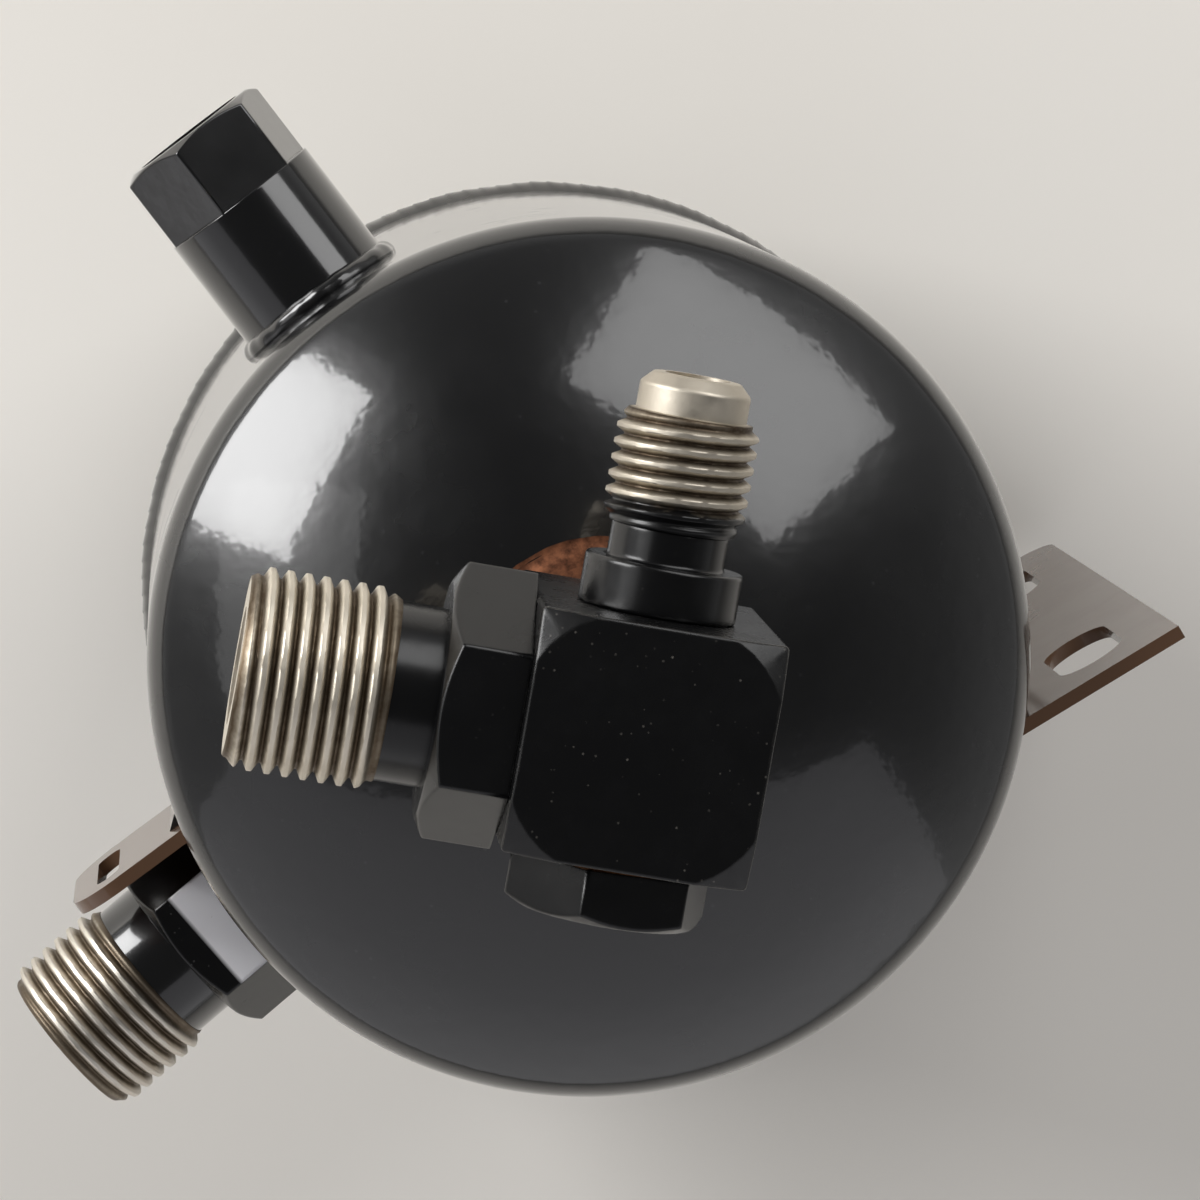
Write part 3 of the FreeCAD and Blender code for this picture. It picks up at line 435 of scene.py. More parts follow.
def worn_paint_and_glare(name, colour, edge_colour, gloss, wear, glare_flat=None):
    """Black paint worn thin on the corners, where a lighter grey shows in broken lines.
    The last argument, if given, is (angle, height, flat, reach): that fitting's flat gets a painted
    highlight, a near-white matt patch that stands in for glare."""
    material, tree, place = new_material(name)
    edges, soft = edge_mask(tree, WORN_EDGE)
    patchy = add(tree, "ShaderNodeTexNoise", Vector=place, Scale=patches(WEAR_PATCH), Detail=5.0,
                 Roughness=0.7)
    broken = add(tree, "ShaderNodeValToRGB", {"stops": [(0.42, grey(0.0)), (0.62, grey(wear))]},
                 Fac=(patchy, "Fac"))
    worn = add(tree, "ShaderNodeMath", {"operation": "MULTIPLY"}, i0=(edges, "Color"), i1=(broken, "Color"))
    dots = add(tree, "ShaderNodeTexVoronoi", {"feature": "F1"}, Vector=place, Scale=patches(CHIP_GAP))
    chips = add(tree, "ShaderNodeValToRGB",
                {"stops": [(0.0, grey(0.35)), (0.08, grey(0.2)), (0.14, grey(0.0))]}, Fac=(dots, "Distance"))
    thin = add(tree, "ShaderNodeMath", {"operation": "MULTIPLY_ADD"}, i0=(chips, "Color"),
               i1=(broken, "Color"), i2=(worn, "Value"))
    tint = add(tree, "ShaderNodeMix", {"data_type": "RGBA"}, i0=(thin, "Value"),
               i6=linear(colour), i7=linear(edge_colour))
    skin = add(tree, "ShaderNodeTexNoise", Vector=place, Scale=patches(BRUSHED_PEEL), Detail=3.0,
               Roughness=0.5)
    rise = add(tree, "ShaderNodeBump", Strength=0.4, Distance=0.012 * MM, Height=(skin, "Fac"),
               Normal=(soft, "Normal"))
    cloud = add(tree, "ShaderNodeTexNoise", Vector=place, Scale=patches(HANDLING), Detail=4.0,
                Roughness=0.65)
    sheen = add(tree, "ShaderNodeValToRGB", {"stops": [(0.4, grey(gloss)), (0.7, grey(gloss + 0.08))]},
                Fac=(cloud, "Fac"))
    shader = add(tree, "ShaderNodeBsdfPrincipled", Base_Color=(tint, 2), Roughness=(sheen, "Color"),
                 Normal=(rise, "Normal"), IOR=PAINT_IOR)
    if glare_flat is None:
        finish_material(tree, shader)
        return material
    angle, height, flat_at, reach_from = glare_flat
    # Painted highlight: a near-white matt patch, broken by a few gaps, on the flat that faces up the vessel.
    # It stands in for glare.
    local = in_fitting(tree, place, angle, height)
    flat = add(tree, "ShaderNodeMapRange", i0=(local, "X"), i1=(flat_at - 0.12) * MM,
               i2=(flat_at - 0.04) * MM)
    near = add(tree, "ShaderNodeMapRange", i0=(local, "Z"), i1=(reach_from + 0.4) * MM, i2=reach_from * MM)
    glare_gap_noise = add(tree, "ShaderNodeTexNoise", Vector=place, Scale=patches(GLARE_GAP_SIZE), Detail=6.0,
                  Roughness=0.75)
    glare_cover = add(tree, "ShaderNodeValToRGB", {"stops": [(0.28, grey(0.0)), (0.34, grey(1.0))]},
               Fac=(glare_gap_noise, "Fac"))
    glare_mask = add(tree, "ShaderNodeMath", {"operation": "MULTIPLY"}, i0=(flat, "Result"), i1=(glare_cover, "Color"))
    glare_mask = add(tree, "ShaderNodeMath", {"operation": "MULTIPLY"}, i0=(glare_mask, "Value"), i1=(near, "Result"))
    glare_white = add(tree, "ShaderNodeBsdfPrincipled", Base_Color=linear("F4F3F6"), Roughness=0.6, Metallic=0.0,
                Normal=(rise, "Normal"))
    both = add(tree, "ShaderNodeMixShader", i0=(glare_mask, "Value"), i1=(shader, "BSDF"), i2=(glare_white, "BSDF"))
    finish_material(tree, both, "Shader")
    return material


def bare_thread(name, bright, root_shade_and_stain, gloss, axis_angle, axis_height, crest, root, painted=None):
    """Zinc-grey turned metal: crests lighter, partly worn bright and partly a painted highlight; roots darker
    brown, which is painted shade; brown stains at random over both.
    painted is the height up to which black paint covers the thread."""
    material, tree, place = new_material(name)
    split = in_fitting(tree, place, axis_angle, axis_height)
    flat = add(tree, "ShaderNodeCombineXYZ", X=(split, "X"), Y=(split, "Y"))
    reach = add(tree, "ShaderNodeVectorMath", {"operation": "LENGTH"}, i0=(flat, "Vector"))
    inside = 2 * root - crest
    depth = add(tree, "ShaderNodeMapRange", i0=(reach, "Value"), i1=inside * MM, i2=crest * MM)
    stain = add(tree, "ShaderNodeTexNoise", Vector=place, Scale=patches(STAIN), Detail=5.0, Roughness=0.65)
    mixed = add(tree, "ShaderNodeMath", {"operation": "MULTIPLY_ADD"}, i0=(stain, "Fac"), i1=0.3,
                i2=(depth, "Result"))
    middle = linear("8B8172")
    # Colour by depth, moved about by the stains: a painted highlight on the crests and painted shade in the
    # roots.
    crest_and_root_tone = add(tree, "ShaderNodeValToRGB",
                {"stops": [(0.3, linear(bright)), (0.52, middle), (0.64, linear(root_shade_and_stain)), (0.8, middle),
                           (1.0, linear(bright))]}, Fac=(mixed, "Value"))
    lines = add(tree, "ShaderNodeTexNoise", Vector=place, Scale=patches(TOOL_MARK), Detail=3.0,
                Roughness=0.5)
    rise = add(tree, "ShaderNodeBump", Strength=0.5, Distance=0.02 * MM, Height=(lines, "Fac"))
    sheen = add(tree, "ShaderNodeValToRGB", {"stops": [(0.35, grey(gloss + 0.16)), (0.7, grey(gloss))]},
                Fac=(stain, "Fac"))
    metal = add(tree, "ShaderNodeBsdfPrincipled", Base_Color=(crest_and_root_tone, "Color"), Roughness=(sheen, "Color"),
                Normal=(rise, "Normal"), Metallic=1.0)
    if painted is None:
        finish_material(tree, metal)
        return material
    ragged = add(tree, "ShaderNodeTexNoise", Vector=place, Scale=patches(RAGGED), Detail=4.0, Roughness=0.6)
    shore = add(tree, "ShaderNodeMath", {"operation": "MULTIPLY_ADD"}, i0=(ragged, "Fac"), i1=RAGGED * MM,
                i2=(split, "Z"))
    cover = add(tree, "ShaderNodeMapRange", i0=(shore, "Value"), i1=painted * MM, i2=(painted + 0.5) * MM)
    black = add(tree, "ShaderNodeBsdfPrincipled", Base_Color=linear("0B0B0C"), Roughness=0.28,
                IOR=PAINT_IOR)
    both = add(tree, "ShaderNodeMixShader", i0=(cover, "Result"), i1=(black, "BSDF"), i2=(metal, "BSDF"))
    finish_material(tree, both, "Shader")
    return material


def plain_metal(name, colour, dark, gloss, patch):
    """Metal with a slightly uneven tone, so that it doesn't read as one flat colour."""
    material, tree, place = new_material(name)
    cloud = add(tree, "ShaderNodeTexNoise", Vector=place, Scale=patches(patch), Detail=5.0, Roughness=0.65)
    tone = add(tree, "ShaderNodeValToRGB", {"stops": [(0.3, linear(dark)), (0.65, linear(colour))]},
               Fac=(cloud, "Fac"))
    sheen = add(tree, "ShaderNodeValToRGB", {"stops": [(0.3, grey(gloss + 0.15)), (0.7, grey(gloss))]},
                Fac=(cloud, "Fac"))
    rise = add(tree, "ShaderNodeBump", Strength=0.3, Distance=0.02 * MM, Height=(cloud, "Fac"))
    shader = add(tree, "ShaderNodeBsdfPrincipled", Base_Color=(tone, "Color"), Roughness=(sheen, "Color"),
                 Normal=(rise, "Normal"), Metallic=1.0)
    finish_material(tree, shader)
    return material


def soft_solid(name, colour, light, gloss):
    """Rubber or fibre with a fine grain."""
    material, tree, place = new_material(name)
    grain = add(tree, "ShaderNodeTexNoise", Vector=place, Scale=patches(RUBBER_GRAIN), Detail=4.0,
                Roughness=0.6)
    tone = add(tree, "ShaderNodeValToRGB", {"stops": [(0.35, linear(colour)), (0.75, linear(light))]},
               Fac=(grain, "Fac"))
    shader = add(tree, "ShaderNodeBsdfPrincipled", Base_Color=(tone, "Color"), Roughness=gloss, IOR=1.5)
    finish_material(tree, shader)
    return material


def clear_glass(name):
    """Thick clear sight glass with a faint green body and smeared surface."""
    material, tree, place = new_material(name)
    smear = add(tree, "ShaderNodeTexNoise", Vector=place, Scale=patches(SMEAR), Detail=3.0, Roughness=0.5)
    sheen = add(tree, "ShaderNodeValToRGB", {"stops": [(0.4, grey(0.02)), (0.7, grey(0.09))]},
                Fac=(smear, "Fac"))
    shader = add(tree, "ShaderNodeBsdfPrincipled", Base_Color=linear("DDE9E2"), Roughness=(sheen, "Color"),
                 IOR=1.5, Transmission_Weight=1.0)
    finish_material(tree, shader)
    return material


def dress(piece, material, body="tank", nodes=()):
    """Give a new piece its material, its body and the CAD nodes it stands for."""
    piece.data.materials.clear()
    piece.data.materials.append(material)
    if nodes:
        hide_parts(*nodes)
    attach(piece, body)
    return piece


# Gloss enamel of the shell: deep black with an even orange peel and a few dust specks.
SHELL_PAINT = paint("gloss_black_enamel", "060607", "3A3A3C", 0.24, 0.07, 0.5)
# Same enamel on turned parts: tighter surface, cleaner reflections.
BOSS_PAINT = paint("gloss_black_on_turned_steel", "070708", "2E2E30", 0.16, 0.03, 0.2)
# Enamel on sheet metal: black under a broad sheen; its brown base colour is a painted warm reflection.
SHEET_PAINT = paint("black_sheet_with_painted_reflection", "5A3E28", "63482F", 0.42, 0.03, 0.4)
# Block: flat black face with broken light lines on its corners.
BLOCK_PAINT = worn_paint_and_glare("worn_black_on_block", "060607", "A09A92", 0.24, 1.0)
# Hexagons: the same paint, less worn.
HEX_PAINT = worn_paint_and_glare("worn_black_on_hexagons", "070708", "5A5856", 0.22, 0.5)
# Inlet hexagon: its front flat carries a painted highlight, a near-white matt patch that stands in for glare.
INLET_PAINT = worn_paint_and_glare("black_on_inlet_with_painted_glare", "070708", "8A8886", 0.2, 0.8,
                         (INLET_ANGLE, INLET_HEIGHT, INLET_FLATS / 2, INLET_HEX_START + 4.0))
# Weld beads under the enamel: the ripples catch the light, the paint stays black.
WELD_PAINT = paint("black_enamel_on_weld", "080808", "3C3A38", 0.24, 0.05, 0.3)
# Outlet thread: zinc-grey crests with a painted highlight, and painted shade in the brown grooves.
OUTLET_METAL = bare_thread("bare_outlet_thread", "DDD5C6", "5C4E3E", 0.42, OUTLET_ANGLE, PORTS_HEIGHT,
                           THREAD_RADIUS, THREAD_RADIUS - THREAD_DEPTH)
# Service thread: the same metal, painted over its first turns.
SERVICE_METAL = bare_thread("bare_service_thread", "C2BAAC", "4A3E32", 0.42, SERVICE_ANGLE, PORTS_HEIGHT,
                            SERVICE_THREAD_RADIUS, SERVICE_THREAD_RADIUS - SERVICE_DEPTH, 18.4)
# Inlet thread: cleaner, so it mirrors more light.
INLET_METAL = bare_thread("bare_inlet_thread", "E2DBD0", "6A5E50", 0.38, INLET_ANGLE, INLET_HEIGHT,
                          THREAD_RADIUS, THREAD_RADIUS - THREAD_DEPTH)
# Copper braze: orange-brown, uneven, half covered by heat marks.
BRAZE_METAL = plain_metal("copper_braze", "84573F", "33201A", 0.48, 1.1)
# Turned brass of stem, disc and core.
BRASS = plain_metal("turned_brass", "C9A862", "8C6F38", 0.25, 1.2)
# Plain steel of tube, strainer, backing ring, retainer and spring.
STEEL = plain_metal("plain_steel", "A9A69F", "6E6A63", 0.3, 2.0)
# Copper sealing ring under the stem cap.
COPPER = plain_metal("soft_copper_ring", "C58A5C", "7E4B2C", 0.3, 0.8)
# Rubber of packing and gasket.
RUBBER = soft_solid("black_rubber", "0C0C0C", "1E1D1C", 0.6)
# Sight glass.
GLASS = clear_glass("sight_glass")


# ---- shell ----

def head_radii():
    """Radius of the head's crown, and the angle at which its knuckle takes over."""
    reach = SHELL_RADIUS - KNUCKLE
    sphere = (HEAD_HEIGHT ** 2 - KNUCKLE ** 2 + reach ** 2) / (2 * (HEAD_HEIGHT - KNUCKLE))
    end = math.degrees(math.atan2(sphere - HEAD_HEIGHT, reach))
    return sphere, end


SPHERE, KNUCKLE_END = head_radii()


def head_profile(hole, inset, wall_to):
    """Head and wall down to wall_to, inset millimetres inside the outer face, from hole outward."""
    sphere, knuckle = SPHERE - inset, KNUCKLE - inset
    low = HEAD_HEIGHT - SPHERE
    top = math.degrees(math.acos(min(hole / sphere, 1.0)))
    crown = arc((0, low), sphere, top, KNUCKLE_END, 48)
    knuckle_run = arc((SHELL_RADIUS - KNUCKLE, 0), knuckle, KNUCKLE_END, 0, 14)
    return crown + knuckle_run[1:] + [(SHELL_RADIUS - inset, wall_to)]


def skin_shift(radius, height, angle):
    """Pressed sheet is never quite true: a few hundredths of a millimetre of slow waviness."""
    point = Vector((math.cos(angle) * radius, math.sin(angle) * radius, height)) / 17.0
    wave = 0.035 * (noise.noise(point) - 1.0)
    return (radius + wave * min(radius / 20.0, 1.0), height + wave * (height > 0))


def build_shell():
    """Front and rear cups, each a head and its share of the wall, of one sheet thickness."""
    outer = head_profile(SPIGOT_RADIUS + 0.1, 0.0, -GIRTH_HEIGHT + 0.3)
    inner = head_profile(SPIGOT_RADIUS + 0.1, SHELL_WALL, -GIRTH_HEIGHT + 0.3)
    front = lathe("front_cup_skin", outer + inner[::-1], upright(), 288, skin_shift)
    dress(front, SHELL_PAINT, "tank", ["front_cup"])
    under = math.radians(180)
    flip = upright() @ Matrix.Translation((0, 0, -WALL_LENGTH)) @ Matrix.Rotation(under, 4, "X")
    outer = head_profile(0.0, 0.0, -(WALL_LENGTH - GIRTH_HEIGHT) + 0.3)
    inner = head_profile(0.0, SHELL_WALL, -(WALL_LENGTH - GIRTH_HEIGHT) + 0.3)
    rear = lathe("rear_cup_skin", outer + inner[::-1], flip, 288, skin_shift)
    dress(rear, SHELL_PAINT, "tank", ["rear_cup"])


def build_girth_weld():
    """Rippled bead round the joint of the two cups."""
    half = GIRTH_BEAD_WIDTH / 2
    ripples = 150
    rows = 12

    def ripple(radius, height, angle):
        across = (height + GIRTH_HEIGHT) / half
        phase = angle * ripples / (2 * math.pi) - 0.55 * (1 - across * across)
        wave = (phase % 1.0) ** 1.6
        rise = GIRTH_BEAD_RISE * max(1 - across * across, 0)
        lump = 0.12 * noise.noise(Vector((math.cos(angle) * 9, math.sin(angle) * 9, across)))
        edge = 0.25 * noise.noise(Vector((math.cos(angle) * 14, math.sin(angle) * 14, 3.0)))
        if radius < SHELL_RADIUS - 0.5:
            return radius, height
        shown = SHELL_RADIUS - 0.05 + rise * (0.84 + 0.09 * wave + lump)
        return shown, -GIRTH_HEIGHT + across * (half - 0.3 + edge)

    profile = [(SHELL_RADIUS - 1.2, -GIRTH_HEIGHT - half * 0.9)]
    profile += [(SHELL_RADIUS, -GIRTH_HEIGHT + half * (2 * k / rows - 1)) for k in range(rows + 1)]
    profile += [(SHELL_RADIUS - 1.2, -GIRTH_HEIGHT + half * 0.9)]
    weld = lathe("girth_weld_bead", profile, upright(), 1500, ripple)
    dress(weld, WELD_PAINT, "tank", ["girth_weld"])


# ---- valve block and fittings ----

def carve(piece, *cutters):
    """Cut the cutters out of the piece and remove them."""
    for cutter in cutters:
        cut = piece.modifiers.new("cut", "BOOLEAN")
        cut.operation = "DIFFERENCE"
        cut.solver = "EXACT"
        cut.object = cutter
    bpy.context.view_layer.update()
    ready = bpy.data.meshes.new_from_object(piece.evaluated_get(bpy.context.evaluated_depsgraph_get()))
    piece.modifiers.clear()
    piece.data = ready
    for cutter in cutters:
        bpy.data.objects.remove(cutter)


def build_block():
    """Square block, crowned on its face and bored for its ports, and the spigot that carries it."""
    square = outline(4, BLOCK_FLATS, 0.35)
    block = bar_end("valve_block_bar", square, BLOCK_REAR, BLOCK_FACE, BLOCK_CROWN, 0.0,
                    upright(OUTLET_ANGLE), 0.22)
    half = BLOCK_FLATS / 2
    socket = half - TAIL_LENGTH
    way = lathe("cut_way", [(0, BEYOND), (SPIGOT_BORE, BEYOND), (SPIGOT_BORE, PORTS_HEIGHT),
                            (0, PORTS_HEIGHT)], upright(), 48)
    wide = 6.45
    outlet = lathe("cut_outlet", [(0, 0), (FLARE_BORE, 0), (FLARE_BORE, socket), (wide, socket),
                                  (wide, BEYOND), (0, BEYOND)], outward(OUTLET_ANGLE, PORTS_HEIGHT), 48)
    wide = 4.25
    service = lathe("cut_service", [(0, 0), (SEAT_HOLE, 0), (SEAT_HOLE, socket), (wide, socket),
                                    (wide, BEYOND), (0, BEYOND)], outward(SERVICE_ANGLE, PORTS_HEIGHT), 48)
    mouth = half - CAP_BORE_DEPTH
    stem = lathe("cut_stem", [(0, -SEAT_DEPTH), (DISC_BORE, -SEAT_DEPTH), (DISC_BORE, PACKING_FLOOR),
                              (STEM_BORE, PACKING_FLOOR), (STEM_BORE, mouth), (CAP_BORE, mouth),
                              (CAP_BORE, BEYOND), (0, BEYOND)], outward(CAP_ANGLE, PORTS_HEIGHT), 48)
    carve(block, way, outlet, service, stem)
    keep_flats_flat(block)
    dress(block, BLOCK_PAINT, "tank", ["valve_block"])
    top = BLOCK_REAR + 0.5
    spigot = lathe("valve_block_spigot", [(SPIGOT_BORE, top), (SPIGOT_BORE, TUBE_SOCKET_TOP),
                                          (TUBE_SOCKET, TUBE_SOCKET_TOP), (TUBE_SOCKET, SPIGOT_FOOT),
                                          (SPIGOT_RADIUS, SPIGOT_FOOT), (SPIGOT_RADIUS, top)], upright(), 96)
    dress(spigot, HEX_PAINT, "tank")


def build_braze():
    """Uneven copper fillet between the head and the spigot."""
    foot = HEAD_HEIGHT - SPHERE + math.sqrt(SPHERE ** 2 - SPIGOT_RADIUS ** 2)
    toe = HEAD_HEIGHT - SPHERE + math.sqrt(SPHERE ** 2 - BRAZE_RADIUS ** 2)
    spread = 3.2
    steps = 8

    def lumps(radius, height, angle):
        if radius < SPIGOT_RADIUS or height < foot - 1.0:
            return radius, height
        wobble = noise.noise(Vector((math.cos(angle) * 3, math.sin(angle) * 3, height)))
        share = (radius - SPIGOT_RADIUS) / spread
        return radius - 0.3 * abs(wobble) * share, height + 0.12 * wobble * (1 - share) - 0.1 * (1 - share)

    fillet = [(SPIGOT_RADIUS, foot + BRAZE_RISE)]
    for k in range(1, steps + 1):
        fall = (BRAZE_RISE + foot - toe) * math.sin(math.pi / 2 * k / steps)
        fillet.append((SPIGOT_RADIUS + spread * k / steps, foot + BRAZE_RISE - fall))
    sunk = 0.6
    braze = lathe("braze_fillet", [(SPIGOT_RADIUS - 0.1, foot - sunk)] + fillet + [(12.0, toe - sunk)],
                  upright(), 192, lumps)
    dress(braze, BRAZE_METAL, "tank", ["spigot_braze"])


def build_outlet():
    """Outlet: hexagon against the block, neck and thread."""
    place = outward(OUTLET_ANGLE, PORTS_HEIGHT)
    face = BLOCK_FLATS / 2
    hex_end = face + OUTLET_HEX_LENGTH
    neck_end = hex_end + OUTLET_NECK
    body = bar_end("outlet_hexagon", outline(6, OUTLET_FLATS, CORNER), face, hex_end,
                   OUTLET_FLATS * CROWN_SHARE, FLARE_BORE, place, 0.22)
    keep_flats_flat(body)
    dress(body, HEX_PAINT, "tank", ["outlet_fitting"])
    run = [(FLARE_BORE, face - TAIL_LENGTH), (OUTLET_TAIL, face - TAIL_LENGTH),
           (OUTLET_TAIL, hex_end - LAP), (FLARE_NECK, hex_end - LAP),
           (FLARE_NECK, neck_end + LAP), (FLARE_BORE, neck_end + LAP)]
    neck = lathe("outlet_neck", run, place, 128)
    dress(neck, HEX_PAINT, "tank")
    tip = neck_end + OUTLET_THREAD
    inner = THREAD_RADIUS - THREAD_DEPTH
    thread = threaded("outlet_thread", THREAD_RADIUS, THREAD_DEPTH, THREAD_PITCH, neck_end,
                      OUTLET_THREAD - LAP, FLARE_BORE, FLARE_NECK,
                      [(inner - 0.15, tip), (FLARE_BORE + 0.4, tip)], place)
    dress(thread, OUTLET_METAL, "tank")


def build_service_port():
    """Service port: round collar, neck, thread and the nose with its flare seat."""
    place = outward(SERVICE_ANGLE, PORTS_HEIGHT)
    face = BLOCK_FLATS / 2
    collar = face + SERVICE_COLLAR_LENGTH
    foot = collar + SERVICE_NECK_LENGTH
    nose = foot + SERVICE_THREAD
    end = nose + NOSE_LENGTH
    run = rounded([(SEAT_HOLE, face - TAIL_LENGTH), (SERVICE_TAIL, face - TAIL_LENGTH),
                   (SERVICE_TAIL, face), (SERVICE_COLLAR, face), (SERVICE_COLLAR, collar),
                   (SERVICE_NECK, collar), (SERVICE_NECK, foot + 0.1), (CORE_BORE, foot + 0.1)], CORNER)
    base = lathe("service_collar", run, place, 128)
    dress(base, HEX_PAINT, "tank", ["service_port"])
    root = SERVICE_THREAD_RADIUS - SERVICE_DEPTH
    flare = end - (NOSE_RADIUS - SEAT_RADIUS)
    nose_run = [(root, nose - 0.1), (NOSE_RADIUS, nose)]
    nose_run += rounded([(NOSE_RADIUS, nose + 0.1), (NOSE_RADIUS, flare), (SEAT_RADIUS, end),
                         (CORE_BORE + 0.2, end)], 0.2)[1:]
    thread = threaded("service_thread", SERVICE_THREAD_RADIUS, SERVICE_DEPTH, SERVICE_PITCH, foot,
                      SERVICE_THREAD - 0.1, CORE_BORE, SERVICE_NECK, nose_run, place, 128)
    dress(thread, SERVICE_METAL, "tank")


def build_cap():
    """Hexagon cap over the stem: crowned end, plug with a hollow, all one piece."""
    face = BLOCK_FLATS / 2 + CAP_GASKET
    place = outward(CAP_ANGLE, PORTS_HEIGHT)
    cap = bar_end("stem_cap_hexagon", outline(6, CAP_FLATS, CORNER, CAP_TWIST), face, face + CAP_HEIGHT,
                  CAP_FLATS * CROWN_SHARE, 0.0, place, 0.2)
    low = BLOCK_FLATS / 2 - CAP_BORE_DEPTH + CAP_PLUG_GAP
    deep = face + 1.6
    hollow = lathe("cut_hollow", [(0, low - 1), (CAP_HOLLOW, low - 1), (CAP_HOLLOW, deep), (0, deep)],
                   place, 64)
    carve(cap, hollow)
    keep_flats_flat(cap)
    dress(cap, HEX_PAINT, "cap", ["stem_cap"])
    plug = lathe("stem_cap_plug", [(CAP_HOLLOW, low), (CAP_PLUG, low), (CAP_PLUG, face + LAP),
                                   (CAP_HOLLOW, face + LAP)], place, 96)
    dress(plug, BRASS, "cap")


def saddle_bead(radius, height, angle):
    """Bead that follows the round wall, with slow ripples."""
    across = radius * math.sin(angle)
    drop = SHELL_RADIUS - math.sqrt(SHELL_RADIUS ** 2 - across ** 2)
    lump = noise.noise(Vector((math.cos(angle) * 4, math.sin(angle) * 4, 1)))
    ripple = 0.035 * math.sin(angle * 21) + 0.1 * lump
    return radius + ripple, height - drop + 0.4 + ripple * 0.5


def build_glass_body():
    """Sight glass body: barrel through the wall, hexagon at its end and the bead round its foot."""
    place = outward(GLASS_ANGLE, GLASS_HEIGHT)
    round_radius = BOSS_FLATS / math.sqrt(3)
    root = round_radius - 0.1
    seam = lathe("sight_glass_bead", [(root, 36.0)] + arc((root, 38.0), 0.9, -60, 90, 8), place, 160,
                 saddle_bead)
    dress(seam, WELD_PAINT, "tank", ["sight_glass_weld"])
    foot = BOSS_TIP - BOSS_HEX_LENGTH
    hexagon = bar_end("sight_glass_hexagon", outline(6, BOSS_FLATS, CORNER, BOSS_TWIST), foot, BOSS_TIP,
                      BOSS_FLATS * CROWN_SHARE, GLASS_SEAT, place, 0.2)
    seat = BOSS_TIP
    for thickness in GLASS_STACK:
        seat -= thickness
    keep_flats_flat(hexagon)
    dress(hexagon, BOSS_PAINT, "tank", ["sight_glass_body"])
    skin = round_radius - 0.05
    run = rounded([(BOSS_BORE, BOSS_INNER), (skin, BOSS_INNER), (skin, foot + LAP), (GLASS_SEAT, foot + LAP),
                   (GLASS_SEAT, seat), (BOSS_BORE, seat)], 0.15)
    barrel = lathe("sight_glass_barrel", run, place, 128)
    dress(barrel, BOSS_PAINT, "tank")


def build_inlet():
    """Inlet: spigot through the wall, hexagon, neck and thread."""
    place = outward(INLET_ANGLE, INLET_HEIGHT)
    hex_end = INLET_HEX_START + INLET_HEX_LENGTH
    body = bar_end("inlet_hexagon", outline(6, INLET_FLATS, CORNER), INLET_HEX_START, hex_end,
                   INLET_FLATS * CROWN_SHARE, FLARE_BORE, place, 0.22)
    keep_flats_flat(body)
    dress(body, INLET_PAINT, "tank", ["inlet_fitting"])
    neck_end = hex_end + INLET_NECK
    run = [(FLARE_BORE, INLET_INNER), (INLET_SPIGOT, INLET_INNER), (INLET_SPIGOT, hex_end - LAP),
           (FLARE_NECK, hex_end - LAP), (FLARE_NECK, neck_end + LAP), (FLARE_BORE, neck_end + LAP)]
    neck = lathe("inlet_neck", run, place, 128)
    dress(neck, BOSS_PAINT, "tank")
    tip = neck_end + INLET_THREAD
    inner = THREAD_RADIUS - THREAD_DEPTH
    thread = threaded("inlet_thread", THREAD_RADIUS, THREAD_DEPTH, THREAD_PITCH, neck_end, INLET_THREAD - LAP,
                      FLARE_BORE, FLARE_NECK, [(inner - 0.15, tip), (FLARE_BORE + 0.4, tip)], place)
    dress(thread, INLET_METAL, "tank")


build_shell()
build_girth_weld()
build_block()
build_braze()
build_outlet()
build_service_port()
build_cap()
build_glass_body()
build_inlet()

# CAD pieces that stay as they are take better materials through their slots.
NODE_LOOK = {
    "core_body": BRASS, "core_pin": BRASS, "valve_disc": BRASS, "valve_stem": BRASS, "gland_nut": BRASS,
    "cap_gasket": COPPER, "glass_gasket": RUBBER, "stem_packing": RUBBER, "core_spring": STEEL,
    "pickup_tube": STEEL, "strainer": STEEL, "backing_ring": STEEL, "glass_retainer": STEEL,
    "sight_glass": GLASS, "bracket_plate": SHEET_PAINT, "strap_ear": SHEET_PAINT,
    "inlet_weld": WELD_PAINT, "sight_glass_weld": WELD_PAINT, "ear_stitch_outer": WELD_PAINT,
}
for number in (1, 2, 3):
    for side in ("inner", "outer"):
        NODE_LOOK[f"bracket_stitch_{side}_{number}"] = WELD_PAINT
for node_name, look in NODE_LOOK.items():
    for slot_index in range(len(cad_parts[node_name].material_slots)):
        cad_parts[node_name].material_slots[slot_index].material = look


# ---- camera, floor and light ----

# The camera looks down on the front head, tilted off the vessel's axis towards its bracket side.
CAMERA_TILT = 7.6
CAMERA_LEAN = 93.1
CAMERA_ROLL = -31.4
CAMERA_LENS = 168.8
CAMERA_PLACE = Vector((-0.13, 67.82, 478.75))


def view_axes():
    """Right, up and back of the camera, in the shared frame."""
    tilt, lean = math.radians(CAMERA_TILT), math.radians(CAMERA_LEAN)
    back = Vector((math.sin(tilt) * math.cos(lean), math.sin(tilt) * math.sin(lean), math.cos(tilt)))
    roll = math.radians(CAMERA_ROLL)
    level = Vector((math.cos(roll), math.sin(roll), 0))
    right = (level - back * level.dot(back)).normalized()
    return right, back.cross(right), back


RIGHT, UP, BACK = view_axes()


def seen_from(side, spin):
    """Direction in the shared frame, side degrees off the line of sight, spin degrees round from right."""
    a, b = math.radians(side), math.radians(spin)
    return BACK * math.cos(a) + (RIGHT * math.cos(b) + UP * math.sin(b)) * math.sin(a)


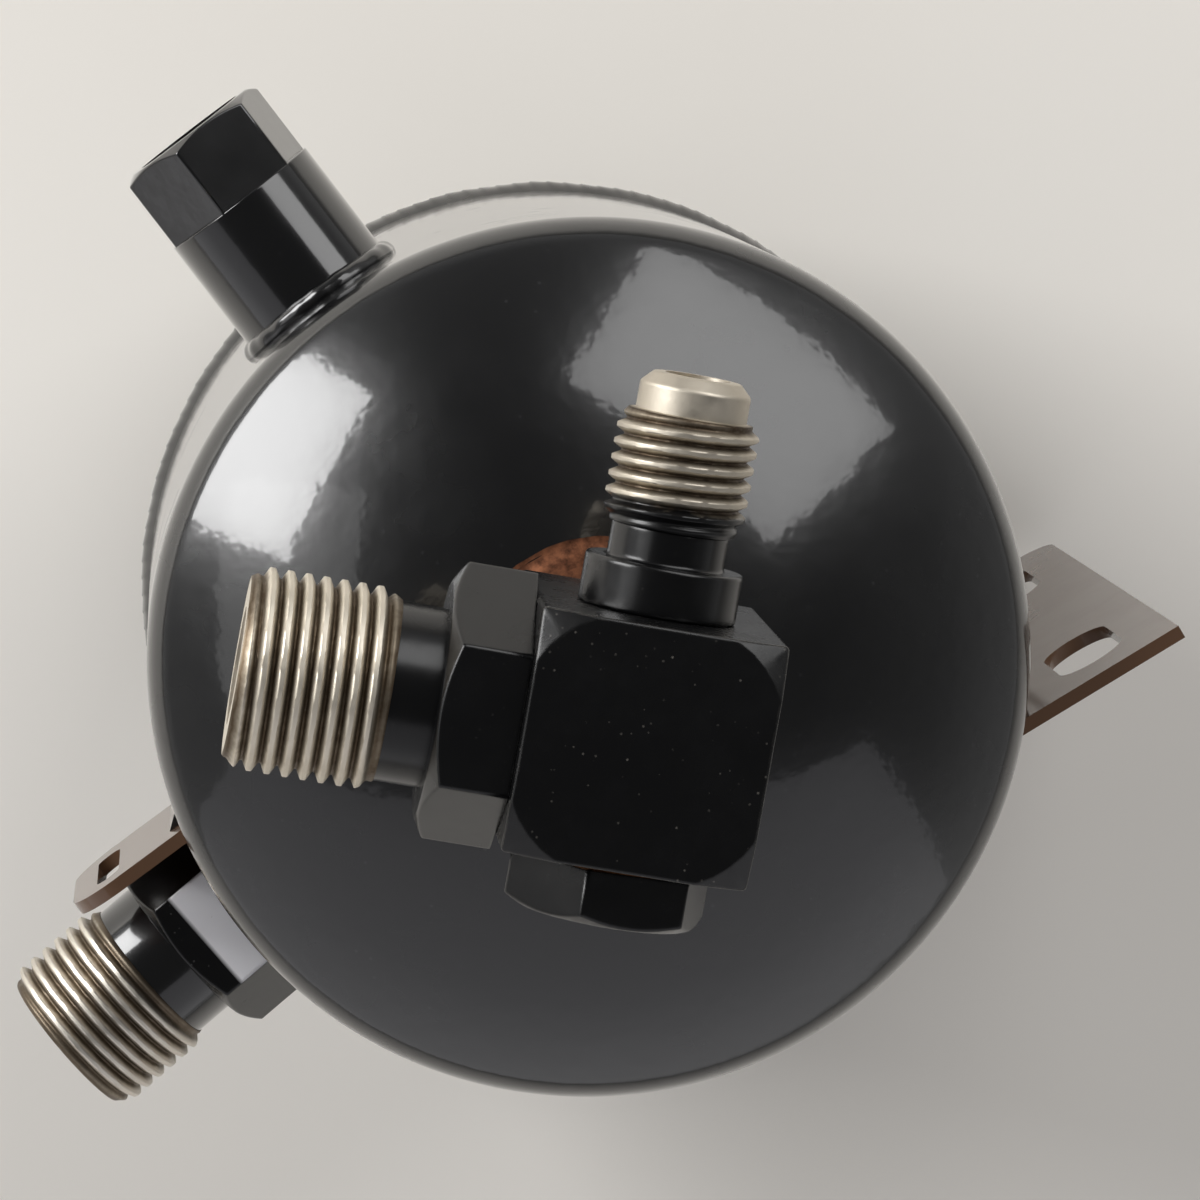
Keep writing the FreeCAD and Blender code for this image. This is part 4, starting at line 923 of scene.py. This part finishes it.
def set_camera():
    """Long lens a good half metre away, so that the vessel hardly tapers."""
    data = bpy.data.cameras.new("camera")
    data.lens = CAMERA_LENS
    data.sensor_width = 36.0
    data.clip_start = 0.02
    data.clip_end = 20.0
    camera = bpy.data.objects.new("camera", data)
    place = VESSEL_ZERO + CAMERA_PLACE
    turn = Matrix((RIGHT, UP, BACK)).transposed().to_4x4()
    camera.matrix_world = Matrix.Translation(place * MM) @ turn
    bpy.context.scene.collection.objects.link(camera)
    bpy.context.scene.camera = camera


def floor_material():
    """Matt pale studio floor with a very faint mottle."""
    material, tree, place = new_material("pale_floor")
    cloud = add(tree, "ShaderNodeTexNoise", Vector=place, Scale=patches(MOTTLE), Detail=3.0, Roughness=0.5)
    tone = add(tree, "ShaderNodeValToRGB", {"stops": [(0.3, linear("F3EEE6")), (0.7, linear("F7F3EC"))]},
               Fac=(cloud, "Fac"))
    shader = add(tree, "ShaderNodeBsdfPrincipled", Base_Color=(tone, "Color"), Roughness=0.8, IOR=1.45)
    finish_material(tree, shader)
    return material


def set_floor():
    """Plain floor just below the rear head."""
    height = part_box("rear_cup")[0].z - 0.0005
    reach = 3.0
    verts = [(-reach, -reach, height), (reach, -reach, height), (reach, reach, height),
             (-reach, reach, height)]
    mesh = bpy.data.meshes.new("floor")
    mesh.from_pydata(verts, [], [(0, 1, 2, 3)])
    floor = bpy.data.objects.new("floor", mesh)
    mesh.materials.append(floor_material())
    bpy.context.scene.collection.objects.link(floor)


def softbox(name, side, spin, wide, tall, level, distance=0.9, colour=(1, 1, 1)):
    """Panel that faces the vessel: wide runs round the line of sight and tall away from it, in degrees."""
    data = bpy.data.lights.new(name, "AREA")
    data.shape = "RECTANGLE"
    data.size = 2 * distance * math.tan(math.radians(wide / 2))
    data.size_y = 2 * distance * math.tan(math.radians(tall / 2))
    data.energy = level * math.pi * data.size * data.size_y
    data.color = colour
    lamp = bpy.data.objects.new(name, data)
    aim = seen_from(side, spin)
    away = (BACK - aim * BACK.dot(aim)).normalized()
    across = away.cross(aim)
    middle = (VESSEL_ZERO + Vector((0, 0, 10))) * MM
    turn = Matrix((across, away, aim)).transposed().to_4x4()
    lamp.matrix_world = Matrix.Translation(middle + aim * distance) @ turn
    bpy.context.scene.collection.objects.link(lamp)


def set_world():
    """Dim studio surround, lighter towards the floor."""
    world = bpy.data.worlds.new("studio")
    world.use_nodes = True
    tree = world.node_tree
    tree.nodes.clear()
    place = add(tree, "ShaderNodeTexCoord")
    split = add(tree, "ShaderNodeSeparateXYZ", Vector=(place, "Generated"))
    glow = add(tree, "ShaderNodeValToRGB",
               {"stops": [(0.0, grey(0.45)), (0.4, grey(0.16)), (0.75, grey(0.08))]}, Fac=(split, "Z"))
    shade = add(tree, "ShaderNodeBackground", Color=(glow, "Color"), Strength=1.0)
    add(tree, "ShaderNodeOutputWorld", Surface=(shade, "Background"))
    bpy.context.scene.world = world


set_camera()
set_floor()
set_world()
softbox("key_left", 62, 151, 30, 30, 10.0)
softbox("skirt_left", 48, 178, 36, 26, 0.9)
softbox("panel_right", 51, 52, 46, 33, 2.9, 0.45)
softbox("bank_below", 66, 270, 115, 60, 0.4, 0.9, (0.96, 0.95, 1.0))
bpy.context.scene.view_settings.view_transform = "Standard"
